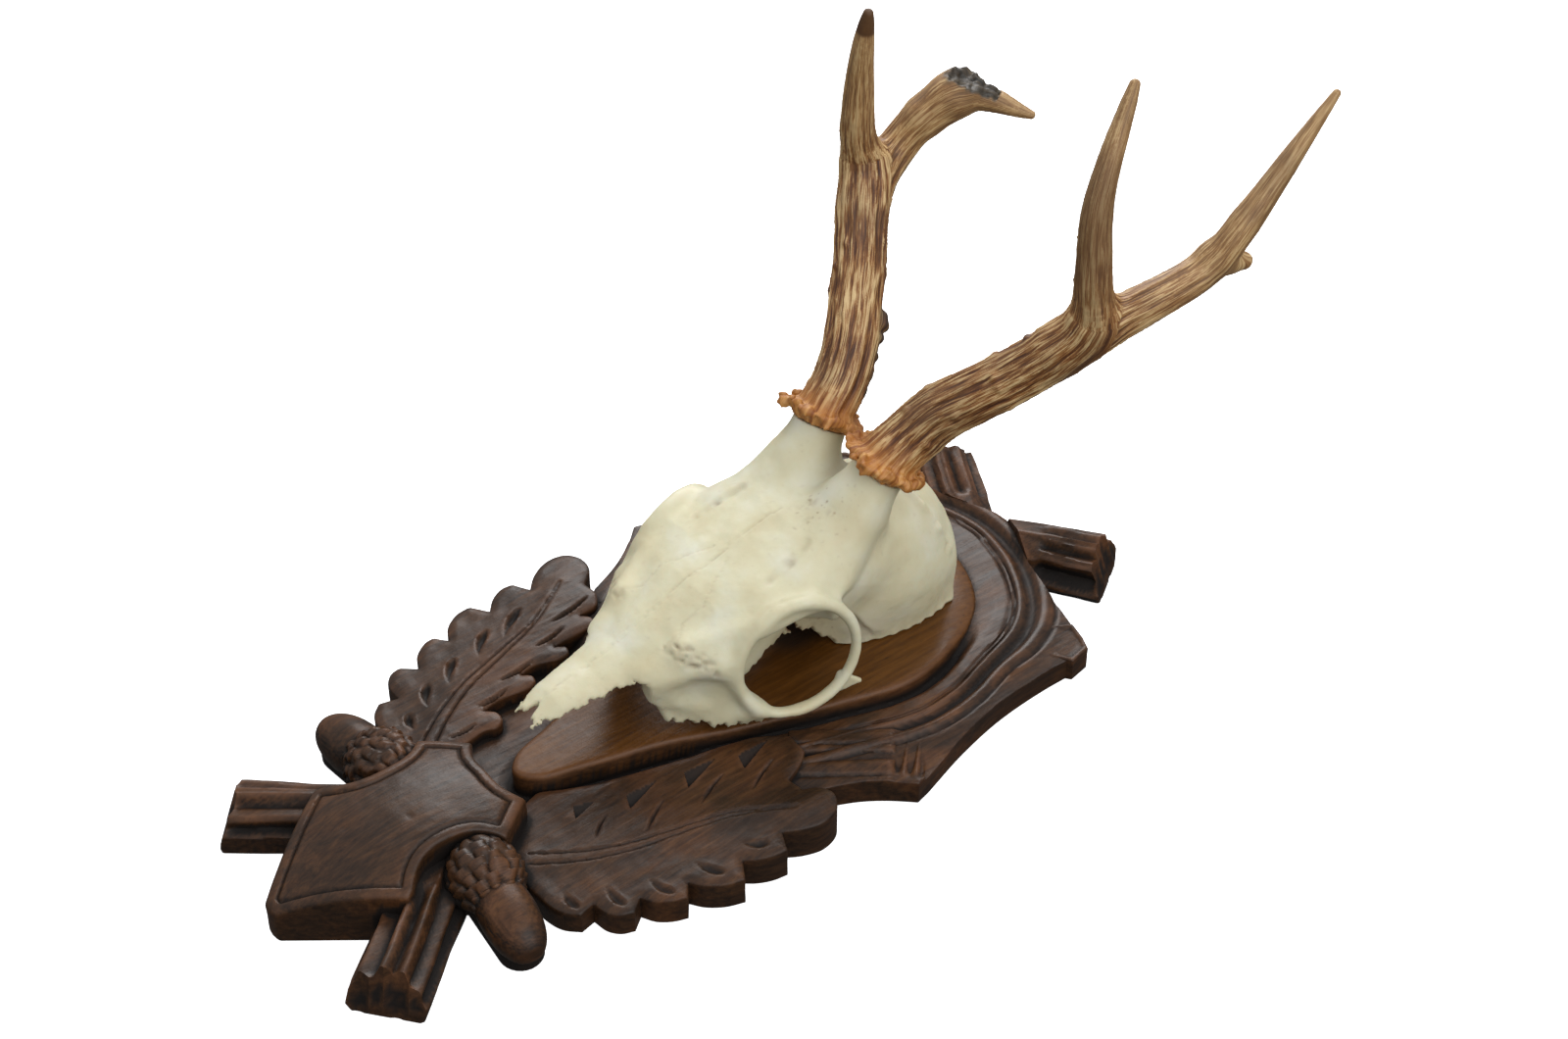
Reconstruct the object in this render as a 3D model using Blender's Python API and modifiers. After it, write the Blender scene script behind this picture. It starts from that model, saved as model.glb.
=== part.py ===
"""A roe buck's cut skull with its antlers, resting on the pad of a carved oak-leaf wall plaque.

Every size is in millimetres and MM turns it into metres. The pieces are modelled lying on their back:
X runs to the viewer's right, Y up the plaque and Z out of the wall. A parent empty then stands them up,
so the flat back lies on the wall plane y = 0 and the front looks towards -Y. The origin is the point of
the back that rests on the wall, behind the middle of the pad.
"""

import math

import bmesh
import bpy
from mathutils import Matrix, Vector

MM = 0.001
GAP = 0.3  # between pieces that touch
BEYOND = 300.0  # reach of a cut that takes a whole side off
SINK = 0.7  # how far above the back the raised forms start, inside the frame's thickness

# Carved board
TIP_Y = -224.6  # lowest point of the shield
FRAME_THICK = 9.0
FRAME_CHAMFER = 1.6
EAR_LOW = (87.0, -13.0)  # outermost corner of the lower ears
EAR_LOW_WIDTH = 6.0
EAR_HIGH = (72.5, 81.0)  # outermost corner of the upper ears
EAR_HIGH_WIDTH = 5.0
LEAF_CORNER = (66.0, -44.0)  # where the frame comes out from behind the leaf
TOP_Y = 104.0  # middle of the frame's top edge
FRAME_SAG = 5.0  # how far the hollow edges between the ears bow in
FRAME_LOW = [(0.0, -152.0), (34.0, -152.0), (50.0, -125.0), (62.0, -85.0)]  # its edge under the leaves
EAR_CORNER = 1.5  # how far the lower ear's upper corner stands in
EAR_FLUTES = 3
EAR_FLUTE_IN = (16.0, 4.0)  # inner end of the first flute, from the ear's corner
EAR_FLUTE_STEP = (4.5, 3.4)
EAR_FLUTE_WAY = (9.5, -12.0)
EAR_FLUTE_WIDTH = 3.6
EAR_FLUTE_DEPTH = 1.9

# Raised pad under the skull
PAD_TOP = 16.0
PAD_EDGE = 2.6  # radius of its rounded rim
PAD_TIP_Y = -126.0
PAD_HEAD_Y = 74.0
PAD_HALF_WIDTH = 50.3  # at its widest
PAD_STATIONS = [  # shares of its half-width and of its length
    (0.153, 0.03),
    (0.239, 0.10),
    (0.312, 0.22),
    (0.42, 0.315),
    (0.60, 0.415),
    (0.86, 0.58),
    (1.0, 0.70),
    (0.88, 0.83),
    (0.58, 0.9475),
]

# Mouldings round the pad, as distances outwards from its edge
GROOVE_OUT = 3.0
GROOVE_RADIUS = 3.2
LINE_OUT = 10.0
LINE_RADIUS = 0.9
COVE_OUT = 14.0
COVE_RADIUS = 2.0
BAND_OUT = 19.0
BAND_TOP = 12.6
BAND_ROUND = 2.0
BAND_LOW_Y = -52.0  # the bands end behind the leaves here

# Shield
SHIELD_BASE = 4.0  # half-width of its blunt tip
SHOULDER = (31.0, -188.0)
WAIST = (20.5, -165.0)
WING_LOW = (29.0, -147.5)
WING_HIGH = (17.0, -132.0)
NOTCH_Y = -137.0
SHIELD_CREST = 29.0
SHIELD_CREST_Y = -168.0
SHIELD_DOME = (73.0, 82.0, 60.0)  # semi-axes of the dome that rounds its face
SHIELD_CORNER = 0.8
RIM_WIDTH = 4.0
RIM_GROOVE = 0.9

# Oak leaves
LEAF_BASE = (27.0, -141.0)
LEAF_BEND_LOW = (62.0, -130.0)
LEAF_BEND_HIGH = (52.0, -90.0)
LEAF_TIP = (77.0, -46.0)
LEAF_LOW = 10.5  # height of the leaf's face at its base
LEAF_HIGH = 15.5  # and at its tip
LEAF_LOBES = 5
LOBE_DEPTH = 6.5
LOBE_RAKE = 35.0  # lobes lean this many degrees towards the tip
OUTER_REACH = 29.0
INNER_REACH_LOW = 24.0
INNER_REACH_HIGH = 38.0
END_LOBE_RADIUS = 11.5
LEAF_EDGE = 0.9
MIDRIB_GAP = 1.7
MIDRIB_GROOVE = 0.7
VEIN_LENGTH = 13.0
VEIN_WIDTH = 2.6
VEIN_DEPTH = 1.5

# Acorns
ACORN_ROOT = (20.0, -158.0)
ACORN_END = (68.5, -163.5)
CUP_LENGTH = 27.0
CUP_RADIUS = 12.6
NUT_RADIUS = 10.6
ACORN_ROOT_HIGH = 17.0
ACORN_END_HIGH = 11.0

# Crossed branches
BRANCH_LOW_END = (53.5, -212.5)
BRANCH_LOW_ROOT = (10.0, -160.0)
BRANCH_LOW_RADIUS = 14.2
BRANCH_LOW_HIGH = 4.5
BRANCH_HIGH_END = (43.0, 118.5)
BRANCH_HIGH_LEFT_END = (46.0, 108.5)
BRANCH_HIGH_ROOT = (-8.0, 86.0)
BRANCH_HIGH_RADIUS = 14.2
BRANCH_HIGH_HIGH = 5.0
BRANCH_TAPER = 0.92
BARK_FLUTES = 5
BARK_FROM = 28.0  # degrees round the branch, of its first and last flute
BARK_TO = 152.0
FLUTE_FROM = 0.45  # shares of the branch's length
FLUTE_TO = 0.93
FLUTE_WIDTH = 4.6
FLUTE_DEPTH = 2.2
END_GOUGE = 5.0
END_GOUGE_STEP = 0.55  # shares of the branch's radius between the gouges, and up its end
END_GOUGE_UP = 0.35
END_GOUGE_OUT = 0.62  # share of the gouge's own radius that its middle stands off the end

# Skull
SKULL_SEAT = PAD_TOP + GAP
CRANIUM_CENTRE = (0.0, 30.0, 40.0)
CRANIUM_SEMI_AXES = (31.5, 37.5, 33.5)
ORBIT_CENTRE = (38.5, -30.0, 44.5)
ORBIT_RADIUS = 20.4
ORBIT_RIM = 3.0
ORBIT_TURN = 15.0  # degrees that the eye socket faces forwards
ORBIT_TILT = 9.0  # degrees that it faces up
SOCKET_DEPTH = 21.0
NOSE_TIP_Y = -121.0
NOSE_TIP_Z = 40.0
NOSE_TIP_HALF_WIDTH = 7.2
NOSE_TIP_ROUND = 1.6
NOSE_RIDGE_BACK = 8.0
NOSE_RIDGE_RISE = 3.5
NOSE_THICK = 4.0
NOSE_ROOT = [(12.5, -76.0, 44.0), (0.0, -74.0, 50.0)]
NOSE_HOLLOW = [(0.0, -135.0, 30.0), (0.0, -110.0, 31.0), (0.0, -80.0, 31.0), (0.0, -62.0, 26.0)]
NOSE_HOLLOW_RADII = [6.0, 8.0, 10.5, 8.0]
SOCKET_FLOOR = (26.0, -26.0, 18.0)  # the way down out of the eye socket
SOCKET_FLOOR_AXES = (10.0, 16.0, 24.0)
# The skull's forms, each the hull of balls on the right half and their mirror images
FOREHEAD = [((27, -16, 60), 5), ((22, -44, 56), 5), ((14, 12, 70), 8), ((0, -2, 72), 5), ((0, -50, 58), 5)]
BROW = [((32, -18, 62), 4), ((29, -36, 62), 4)]
FACE = [((24, -47, 50), 5), ((22, -50, 20), 5), ((12, -74, 44), 5), ((12, -66, 19), 4), ((0, -66, 51), 5)]
INNER_WALL = [((12, -48, 52), 6), ((12, 4, 58), 8), ((8, -40, 30), 6), ((12, 4, 18), 6)]
# These stand on each side by themselves
CHEEK = [((29, -52, 44), 4.5), ((26, -55, 22), 4), ((36, -46, 24), 3.5), ((16, -64, 22), 4)]
TEAR_BONE = [
    ((30, -50, 44), 4.5),
    ((29, -45, 58), 4),
    ((19, -56, 48), 5),
    ((14, -44, 40), 6),
    ((14, -42, 58), 5),
]
SPUR = [((43, -11, 27), 3), ((44.5, -5, 23.5), 1.2)]
BONE_CELL = 1.5
SKULL_SHARE = 0.05  # of the fine cells' faces that the solid keeps

# Antlers
PEDICLE_BASE = (13.5, 10.0, 68.0)
BURR_CENTRE = (17.6, 25.7, 91.6)
PEDICLE_RADIUS = 9.6
PEDICLE_FLARE = 2.0  # how much wider it is at the forehead
PEDICLE_CUT_REACH = 40.0
PEDICLE_CUT_RADIUS = 22.0
BURR_RADIUS = 17.0
BURR_THICK = 7.0
BURR_KNOBS = 13
BURR_CORE_SHARE = 0.82  # of the burr's radius, inside its knobs
KNOB_RADIUS = 3.4
KNOB_CHANGE = 0.7
KNOB_TURN = 2.4  # radians of the wave that changes the knobs' size
BEAM_RADIUS = 10.4
CROTCH_RADIUS = 8.6
TINE_RADIUS = 6.6
TIP_RADIUS = 1.7
TINE_TAPER = 1.4
TINE_ROOT = 1.6  # how much thicker than TINE_RADIUS a tine starts
SNAG_ROOT_RADIUS = 5.0
UNDER_REACH = 40.0  # of the cut that takes the beam off below the burr
SNAG_RADIUS = 3.2
BEAM_ROUTE = [
    (20.0, 35.6, 100.4),
    (25.1, 44.4, 110.4),
    (34.4, 53.9, 120.4),
    (43.7, 63.2, 130.3),
    (53.3, 71.6, 142.4),
    (61.0, 78.0, 156.0),
]
RIGHT_FRONT_TINE = [(62.0, 76.5, 176.6), (60.0, 77.5, 197.9), (58.0, 82.8, 214.6), (53.0, 96.6, 238.1)]
RIGHT_BACK_TINE = [(68.0, 94.9, 158.8), (74.0, 117.7, 168.0), (78.0, 130.0, 183.5), (81.0, 163.8, 222.8)]
LEFT_FRONT_TINE = [(60.0, 74.1, 173.0), (57.0, 72.2, 195.9), (54.0, 71.0, 211.5), (51.0, 70.4, 225.3)]
RIGHT_SNAG = [(72.0, 129.0, 166.0), (76.0, 134.0, 165.0)]
LEFT_SNAG = [(54.0, 108.0, 173.0), (51.0, 113.0, 182.0), (47.5, 119.0, 183.5)]
LEFT_BACK_TINE = [(61.0, 92.0, 154.0), (57.0, 104.0, 168.0), (49.0, 117.0, 176.0), (30.0, 131.0, 171.2)]

STEPS = 4  # points on each curved stretch of an outline


def clear_scene():
    for obj in list(bpy.data.objects):
        bpy.data.objects.remove(obj, do_unlink=True)


def new_collection(name, hidden=False):
    made = bpy.data.collections.new(name)
    bpy.context.scene.collection.children.link(made)
    made.hide_render = hidden
    return made


def material(name, colour, roughness, metallic=0.0):
    made = bpy.data.materials.new(name)
    made.use_nodes = True
    shader = made.node_tree.nodes["Principled BSDF"]
    shader.inputs["Base Color"].default_value = (*colour, 1.0)
    shader.inputs["Roughness"].default_value = roughness
    shader.inputs["Metallic"].default_value = metallic
    return made


def mix(a, b, t):
    return a + (b - a) * t


def arc_between(a, b, sag, steps=STEPS):
    """Points from a to b, without b, bowed to the right of the way by sag."""
    start = Vector(a)
    way = Vector(b) - start
    side = Vector((way.y, -way.x)).normalized()
    return [start + way * (i / steps) + side * sag * math.sin(math.pi * i / steps) for i in range(steps)]


def mirrored_outline(half):
    """A closed outline from its right half, which runs from the bottom of the axis to the top."""
    left = [Vector((-p.x, p.y)) for p in reversed(half) if abs(p.x) > 1e-6]
    return list(half) + left


def through(points, steps=STEPS):
    """A smooth curve through the points, for 2 or 3 coordinates, with both ends."""
    ends = [points[0] * 2 - points[1], *points, points[-1] * 2 - points[-2]]
    out = []
    for a, b, c, d in zip(ends, ends[1:], ends[2:], ends[3:]):
        for i in range(steps):
            t = i / steps
            bend = (2 * a - 5 * b + 4 * c - d) * t**2 + (3 * b - a - 3 * c + d) * t**3
            out.append((2 * b + (c - a) * t + bend) * 0.5)
    return out + [points[-1]]


def offset_outline(outline, distance):
    """The closed outline moved outwards, for one that runs anticlockwise."""
    count = len(outline)
    moved = []
    for i, point in enumerate(outline):
        way = (outline[(i + 1) % count] - outline[i - 1]).normalized()
        place = point + Vector((way.y, -way.x)) * distance
        if clearance(place, outline) > abs(distance) * 0.97:
            moved.append(place)
    return moved


def clearance(place, outline):
    """How far a point is from a closed outline."""
    nearest = math.inf
    for a, b in zip(outline, outline[1:] + outline[:1]):
        way = b - a
        share = min(1.0, max(0.0, (place - a).dot(way) / max(way.length_squared, 1e-9)))
        nearest = min(nearest, (a + way * share - place).length)
    return nearest


def pad_outline():
    half = [Vector((0.0, PAD_TIP_Y))]
    half += [Vector((PAD_HALF_WIDTH * wide, mix(PAD_TIP_Y, PAD_HEAD_Y, high))) for wide, high in PAD_STATIONS]
    half += [Vector((0.0, PAD_HEAD_Y))]
    return mirrored_outline(through(half, 2))


def frame_outline():
    ear_low_top = (EAR_LOW[0] - EAR_CORNER, EAR_LOW[1] + EAR_LOW_WIDTH)
    ear_high_top = (EAR_HIGH[0] - EAR_HIGH_WIDTH, EAR_HIGH[1] + EAR_HIGH_WIDTH * 0.4)
    half = [Vector(p) for p in FRAME_LOW]
    half += arc_between(LEAF_CORNER, EAR_LOW, -FRAME_SAG * 0.5)
    half += [Vector(EAR_LOW)]
    half += arc_between(ear_low_top, EAR_HIGH, -FRAME_SAG)
    half += [Vector(EAR_HIGH)]
    half += arc_between(ear_high_top, (0.0, TOP_Y), -FRAME_SAG * 0.6)
    half += [Vector((0.0, TOP_Y))]
    return mirrored_outline(half)


def shield_outline():
    half = [Vector((0.0, TIP_Y)), Vector((SHIELD_BASE, TIP_Y + 1.5)), Vector(SHOULDER)]
    half += arc_between((SHOULDER[0] - 1.5, SHOULDER[1] + 3.0), WAIST, -3.0)
    half += arc_between(WAIST, WING_LOW, -2.5)
    half += [Vector(WING_LOW)]
    half += arc_between(WING_HIGH, (0.0, NOTCH_Y), -2.0)
    half += [Vector((0.0, NOTCH_Y))]
    return mirrored_outline(half)


def on_midrib(t):
    """Point, and direction towards the tip, on the right leaf's midrib."""
    p = [Vector(q) for q in (LEAF_BASE, LEAF_BEND_LOW, LEAF_BEND_HIGH, LEAF_TIP)]
    u = 1.0 - t
    point = u**3 * p[0] + 3 * u**2 * t * p[1] + 3 * u * t**2 * p[2] + t**3 * p[3]
    way = u**2 * (p[1] - p[0]) + 2 * u * t * (p[2] - p[1]) + t**2 * (p[3] - p[2])
    return point, way.normalized()


def leaf_point(t, reach, rake, outer):
    """Point at that reach from the midrib, leaning towards the tip by rake degrees."""
    point, way = on_midrib(t)
    side = Vector((way.y, -way.x)) if outer else Vector((-way.y, way.x))
    return point + side * reach * math.cos(math.radians(rake)) + way * reach * math.sin(math.radians(rake))


def lobe_edge(outer, steps=4):
    """One scalloped edge of the leaf, from its base to its end lobe."""
    out = []
    last = 0.74 if outer else 0.80
    for i in range(LEAF_LOBES * steps + 1):
        share = i / (LEAF_LOBES * steps)
        t = 0.05 + last * share
        place = (share * LEAF_LOBES) % 1.0
        swell = math.sin(math.pi * place**1.7)
        if outer:
            reach = OUTER_REACH - 5.0 * abs(share - 0.4)
            rake = LOBE_RAKE
        else:
            reach = mix(INNER_REACH_LOW, INNER_REACH_HIGH, min(1.0, share * 1.2))
            rake = mix(12.0, LOBE_RAKE + 9.0, share)
        out.append(leaf_point(t, reach - LOBE_DEPTH * (1.0 - swell), rake, outer))
    return out


def leaf_outline():
    outer = lobe_edge(True)
    inner = lobe_edge(False)
    centre, way = on_midrib(0.92)
    start = math.atan2(way.y, way.x)
    end_lobe = []
    for i in range(9):
        angle = start + math.radians(mix(-105.0, 105.0, i / 8))
        end_lobe.append(centre + END_LOBE_RADIUS * Vector((math.cos(angle), math.sin(angle))))
    return [Vector(LEAF_BASE) - Vector((6.0, 6.0))] + outer + end_lobe + list(reversed(inner))


def leaf_height(y):
    share = (y - LEAF_BASE[1]) / (LEAF_TIP[1] - LEAF_BASE[1])
    return mix(LEAF_LOW, LEAF_HIGH, min(1.0, max(0.0, share)))


def mesh_of(obj):
    """A curve object turned into a mesh object with its caps welded."""
    evaluated = obj.evaluated_get(bpy.context.evaluated_depsgraph_get())
    mesh = bpy.data.meshes.new_from_object(evaluated)
    bm = bmesh.new()
    bm.from_mesh(mesh)
    bmesh.ops.remove_doubles(bm, verts=bm.verts, dist=0.00001)
    bmesh.ops.recalc_face_normals(bm, faces=bm.faces)
    bm.to_mesh(mesh)
    bm.free()
    made = bpy.data.objects.new(obj.name + "_solid", mesh)
    made.matrix_world = obj.matrix_world
    for collection in obj.users_collection:
        collection.objects.link(made)
    bpy.data.objects.remove(obj, do_unlink=True)
    return made


def slab(name, outline, low, high, edge, collection, rounds=0):
    """A flat outline between two heights, its upper and lower edges cut back by that much, or rounded."""
    curve = bpy.data.curves.new(name, "CURVE")
    curve.dimensions = "2D"
    curve.fill_mode = "BOTH"
    curve.extrude = ((high - low) / 2 - edge) * MM
    curve.bevel_depth = edge * MM
    curve.bevel_resolution = rounds
    curve.offset = -edge * MM
    spline = curve.splines.new("POLY")
    spline.points.add(len(outline) - 1)
    for point, place in zip(spline.points, outline):
        point.co = (place.x * MM, place.y * MM, 0.0, 1.0)
    spline.use_cyclic_u = True
    obj = bpy.data.objects.new(name, curve)
    obj.location.z = (high + low) / 2 * MM
    collection.objects.link(obj)
    bpy.context.view_layer.update()
    return mesh_of(obj)


def tube(name, route, radii, collection, sides=3, closed=False):
    """A round bar along the route, with a radius at each point."""
    curve = bpy.data.curves.new(name, "CURVE")
    curve.dimensions = "3D"
    curve.bevel_depth = MM
    curve.bevel_resolution = sides
    curve.use_fill_caps = not closed
    spline = curve.splines.new("POLY")
    spline.points.add(len(route) - 1)
    for point, place, radius in zip(spline.points, route, radii):
        point.co = (place[0] * MM, place[1] * MM, place[2] * MM, 1.0)
        point.radius = radius
    spline.use_cyclic_u = closed
    obj = bpy.data.objects.new(name, curve)
    collection.objects.link(obj)
    bpy.context.view_layer.update()
    return mesh_of(obj)


def mesh_object(name, bm, collection):
    mesh = bpy.data.meshes.new(name)
    bm.to_mesh(mesh)
    bm.free()
    obj = bpy.data.objects.new(name, mesh)
    collection.objects.link(obj)
    return obj


def ellipsoid(name, centre, semi_axes, collection, segments=20, rings=12, turn=0.0):
    bm = bmesh.new()
    place = (
        Matrix.Translation(Vector(centre) * MM)
        @ Matrix.Rotation(turn, 4, "Z")
        @ Matrix.Diagonal((semi_axes[0] * MM, semi_axes[1] * MM, semi_axes[2] * MM, 1.0))
    )
    bmesh.ops.create_uvsphere(bm, u_segments=segments, v_segments=rings, radius=1.0, matrix=place)
    return mesh_object(name, bm, collection)


def gouge(name, start, end, width, depth, collection, segments=6, rings=4):
    """A spindle-shaped cut between two points, as a gouge leaves it."""
    a = Vector(start)
    b = Vector(end)
    turn = math.atan2((b - a).y, (b - a).x)
    semi_axes = ((b - a).length / 2, width / 2, depth)
    return ellipsoid(name, (a + b) / 2, semi_axes, collection, segments, rings, turn)


def box(name, low, high, collection):
    bm = bmesh.new()
    bmesh.ops.create_cube(bm, size=1.0)
    size = Vector(high) - Vector(low)
    for vertex in bm.verts:
        vertex.co = (Vector(low) + Vector((c + 0.5) * s for c, s in zip(vertex.co, size))) * MM
    return mesh_object(name, bm, collection)


def hull(name, balls, collection):
    """The convex form round some balls, each a centre and a radius."""
    bm = bmesh.new()
    for centre, radius in balls:
        place = Matrix.Translation(Vector(centre) * MM)
        bmesh.ops.create_icosphere(bm, subdivisions=2, radius=radius * MM, matrix=place)
    bmesh.ops.delete(bm, geom=list(bm.edges), context="EDGES_FACES")
    bmesh.ops.convex_hull(bm, input=bm.verts)
    inside = [v for v in bm.verts if not v.link_faces]
    bmesh.ops.delete(bm, geom=inside, context="VERTS")
    bmesh.ops.recalc_face_normals(bm, faces=bm.faces)
    return mesh_object(name, bm, collection)


def boolean(obj, operation, collection):
    """Joins or cuts by every shape in a collection. All are closed, and EXACT leaves edges open here."""
    modifier = obj.modifiers.new(operation.lower() + "_" + collection.name, "BOOLEAN")
    modifier.operation = operation
    modifier.operand_type = "COLLECTION"
    modifier.collection = collection
    modifier.solver = "MANIFOLD"


def settle(obj):
    """The object with its modifiers applied."""
    bpy.context.view_layer.update()
    evaluated = obj.evaluated_get(bpy.context.evaluated_depsgraph_get())
    mesh = bpy.data.meshes.new_from_object(evaluated)
    obj.modifiers.clear()
    obj.data = mesh
    return obj


def tilt_leaf(obj):
    """Lifts the leaf's face from its base to its tip."""
    for vertex in obj.data.vertices:
        if vertex.co.z > 0:
            rise = leaf_height(vertex.co.y / MM) - LEAF_HIGH
            vertex.co.z += rise * MM


def add_leaf(side, forms, cuts):
    word = "right" if side > 0 else "left"
    outline = [Vector((p.x * side, p.y)) for p in leaf_outline()]
    if side < 0:
        outline.reverse()
    leaf = slab("leaf_" + word, outline, 0.0, LEAF_HIGH, LEAF_EDGE, forms)
    tilt_leaf(leaf)
    for across in (-MIDRIB_GAP, MIDRIB_GAP):
        route = []
        for i in range(8):
            point, way = on_midrib(mix(0.02, 0.90, i / 7))
            place = point + Vector((way.y, -way.x)) * across * (1.0 - i / 9)
            route.append((place.x * side, place.y, leaf_height(place.y) + 0.2))
        tube("midrib_line_" + word, route, [MIDRIB_GROOVE] * 8, cuts, 0)
    for i in range(LEAF_LOBES):
        for outer in (True, False):
            t = mix(0.14, 0.72, i / (LEAF_LOBES - 1))
            rake = LOBE_RAKE + 12.0
            a = leaf_point(t, 6.0, rake, outer)
            b = leaf_point(t, 6.0 + VEIN_LENGTH, rake, outer)
            high = leaf_height((a.y + b.y) / 2) + 0.1
            start = (a.x * side, a.y, high)
            end = (b.x * side, b.y, high)
            gouge("vein_" + word, start, end, VEIN_WIDTH, VEIN_DEPTH, cuts)


def add_acorn(side, forms):
    word = "right" if side > 0 else "left"
    root = Vector((ACORN_ROOT[0] * side, ACORN_ROOT[1], ACORN_ROOT_HIGH))
    end = Vector((ACORN_END[0] * side, ACORN_END[1], ACORN_END_HIGH))
    way = (end - root).normalized()
    turn = math.atan2(way.y, way.x)
    length = (end - root).length
    cup = root + way * CUP_LENGTH * 0.45
    cup_axes = (CUP_LENGTH * 0.56, CUP_RADIUS, CUP_RADIUS)
    ellipsoid("cup_" + word, cup, cup_axes, forms, 14, 8, turn)
    nut_half = (length - CUP_LENGTH * 0.45) / 2
    nut = end - way * nut_half
    ellipsoid("nut_" + word, nut, (nut_half, NUT_RADIUS, NUT_RADIUS), forms, 12, 10, turn)


def add_branch(name, root, end, high, radius, side, forms, cuts):
    """A sawn branch end with fluted bark, lying along the board."""
    a = Vector((root[0] * side, root[1], high))
    b = Vector((end[0] * side, end[1], high))
    way = (b - a).normalized()
    across = Vector((-way.y, way.x, 0.0))
    tube(name, [a, b], [radius * BRANCH_TAPER, radius], forms, 3)
    for i in range(BARK_FLUTES):
        angle = math.radians(mix(BARK_FROM, BARK_TO, i / (BARK_FLUTES - 1)))
        out = across * math.cos(angle) + Vector((0.0, 0.0, math.sin(angle)))
        start = mix(a, b, FLUTE_FROM) + out * radius
        stop = mix(a, b, FLUTE_TO) + out * radius
        gouge(name + "_flute", start, stop, FLUTE_WIDTH, FLUTE_DEPTH, cuts)
    for shift in (-END_GOUGE_STEP, 0.0, END_GOUGE_STEP):
        up = Vector((0.0, 0.0, radius * END_GOUGE_UP))
        centre = b + across * radius * shift + up + way * END_GOUGE * END_GOUGE_OUT
        ellipsoid(name + "_end", centre, (END_GOUGE,) * 3, cuts, 8, 6)


def build_plaque(collection, wood):
    forms = new_collection("plaque_forms", hidden=True)
    cuts = new_collection("plaque_cuts", hidden=True)
    pad = pad_outline()
    board = slab("carved_plaque", frame_outline(), -FRAME_CHAMFER, FRAME_THICK, FRAME_CHAMFER, collection)
    board.name = "carved_plaque"
    high_part = [p for p in offset_outline(pad, BAND_OUT) if p.y > BAND_LOW_Y]
    slab("bands", high_part, SINK, BAND_TOP, BAND_ROUND, forms)
    slab("pad", pad, SINK, PAD_TOP, PAD_EDGE, forms, 1)
    shield = slab("shield", shield_outline(), 0.0, SHIELD_CREST + 4.0, SHIELD_CORNER, forms)
    dome = new_collection("shield_dome", hidden=True)
    dome_centre = (0.0, SHIELD_CREST_Y, SHIELD_CREST - SHIELD_DOME[2])
    ellipsoid("dome", dome_centre, SHIELD_DOME, dome, 28, 18)
    boolean(shield, "INTERSECT", dome)
    settle(shield)
    for side in (1, -1):
        add_leaf(side, forms, cuts)
        add_acorn(side, forms)
        high_end = BRANCH_HIGH_END if side > 0 else BRANCH_HIGH_LEFT_END
        low = (BRANCH_LOW_ROOT, BRANCH_LOW_END, BRANCH_LOW_HIGH, BRANCH_LOW_RADIUS)
        high = (BRANCH_HIGH_ROOT, high_end, BRANCH_HIGH_HIGH, BRANCH_HIGH_RADIUS)
        add_branch("branch_low", *low, side, forms, cuts)
        add_branch("branch_high", *high, side, forms, cuts)
    boolean(board, "UNION", forms)
    add_mouldings(pad, cuts)
    add_rim_line(cuts)
    add_ear_flutes(cuts)
    box("wall_cut", (-BEYOND, -BEYOND, -BEYOND), (BEYOND, BEYOND, 0.0), cuts)
    boolean(board, "DIFFERENCE", cuts)
    board.data.materials.append(wood)
    return board


def add_mouldings(pad, cuts):
    """The grooves that follow the pad round its head."""
    lines = (
        (GROOVE_OUT, GROOVE_RADIUS, BAND_TOP + 0.6, BAND_LOW_Y - 60.0),
        (LINE_OUT, LINE_RADIUS, BAND_TOP + 0.1, BAND_LOW_Y + 8.0),
        (COVE_OUT, COVE_RADIUS, BAND_TOP + 0.5, BAND_LOW_Y + 12.0),
    )
    for distance, radius, high, low_y in lines:
        points = offset_outline(pad, distance)
        head = [p for p in points if p.y > low_y]
        start = max(range(len(head)), key=lambda i: (head[i] - head[i - 1]).length)
        head = head[start:] + head[:start]
        route = [(p.x, p.y, high) for p in head]
        tube("moulding", route, [radius] * len(route), cuts, 1 if radius > LINE_RADIUS else 0)


def add_rim_line(cuts):
    """The groove inside the shield's rim, on its domed face."""
    line = offset_outline(shield_outline(), -RIM_WIDTH)
    route = []
    a, b, c = SHIELD_DOME
    for p in line:
        share = 1.0 - (p.x / a) ** 2 - ((p.y - SHIELD_CREST_Y) / b) ** 2
        route.append((p.x, p.y, SHIELD_CREST - c + c * math.sqrt(max(0.1, share)) + 0.2))
    tube("rim_line", route, [RIM_GROOVE] * len(route), cuts, 0, closed=True)


def add_ear_flutes(cuts):
    for side in (1, -1):
        for i in range(EAR_FLUTES):
            corner = Vector((EAR_LOW[0] - EAR_FLUTE_IN[0], EAR_LOW[1] + EAR_FLUTE_IN[1]))
            inner = corner + Vector(EAR_FLUTE_STEP) * i
            outer = inner + Vector(EAR_FLUTE_WAY)
            start = (inner.x * side, inner.y, FRAME_THICK)
            end = (outer.x * side, outer.y, FRAME_THICK)
            gouge("ear_flute", start, end, EAR_FLUTE_WIDTH, EAR_FLUTE_DEPTH, cuts)


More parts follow.
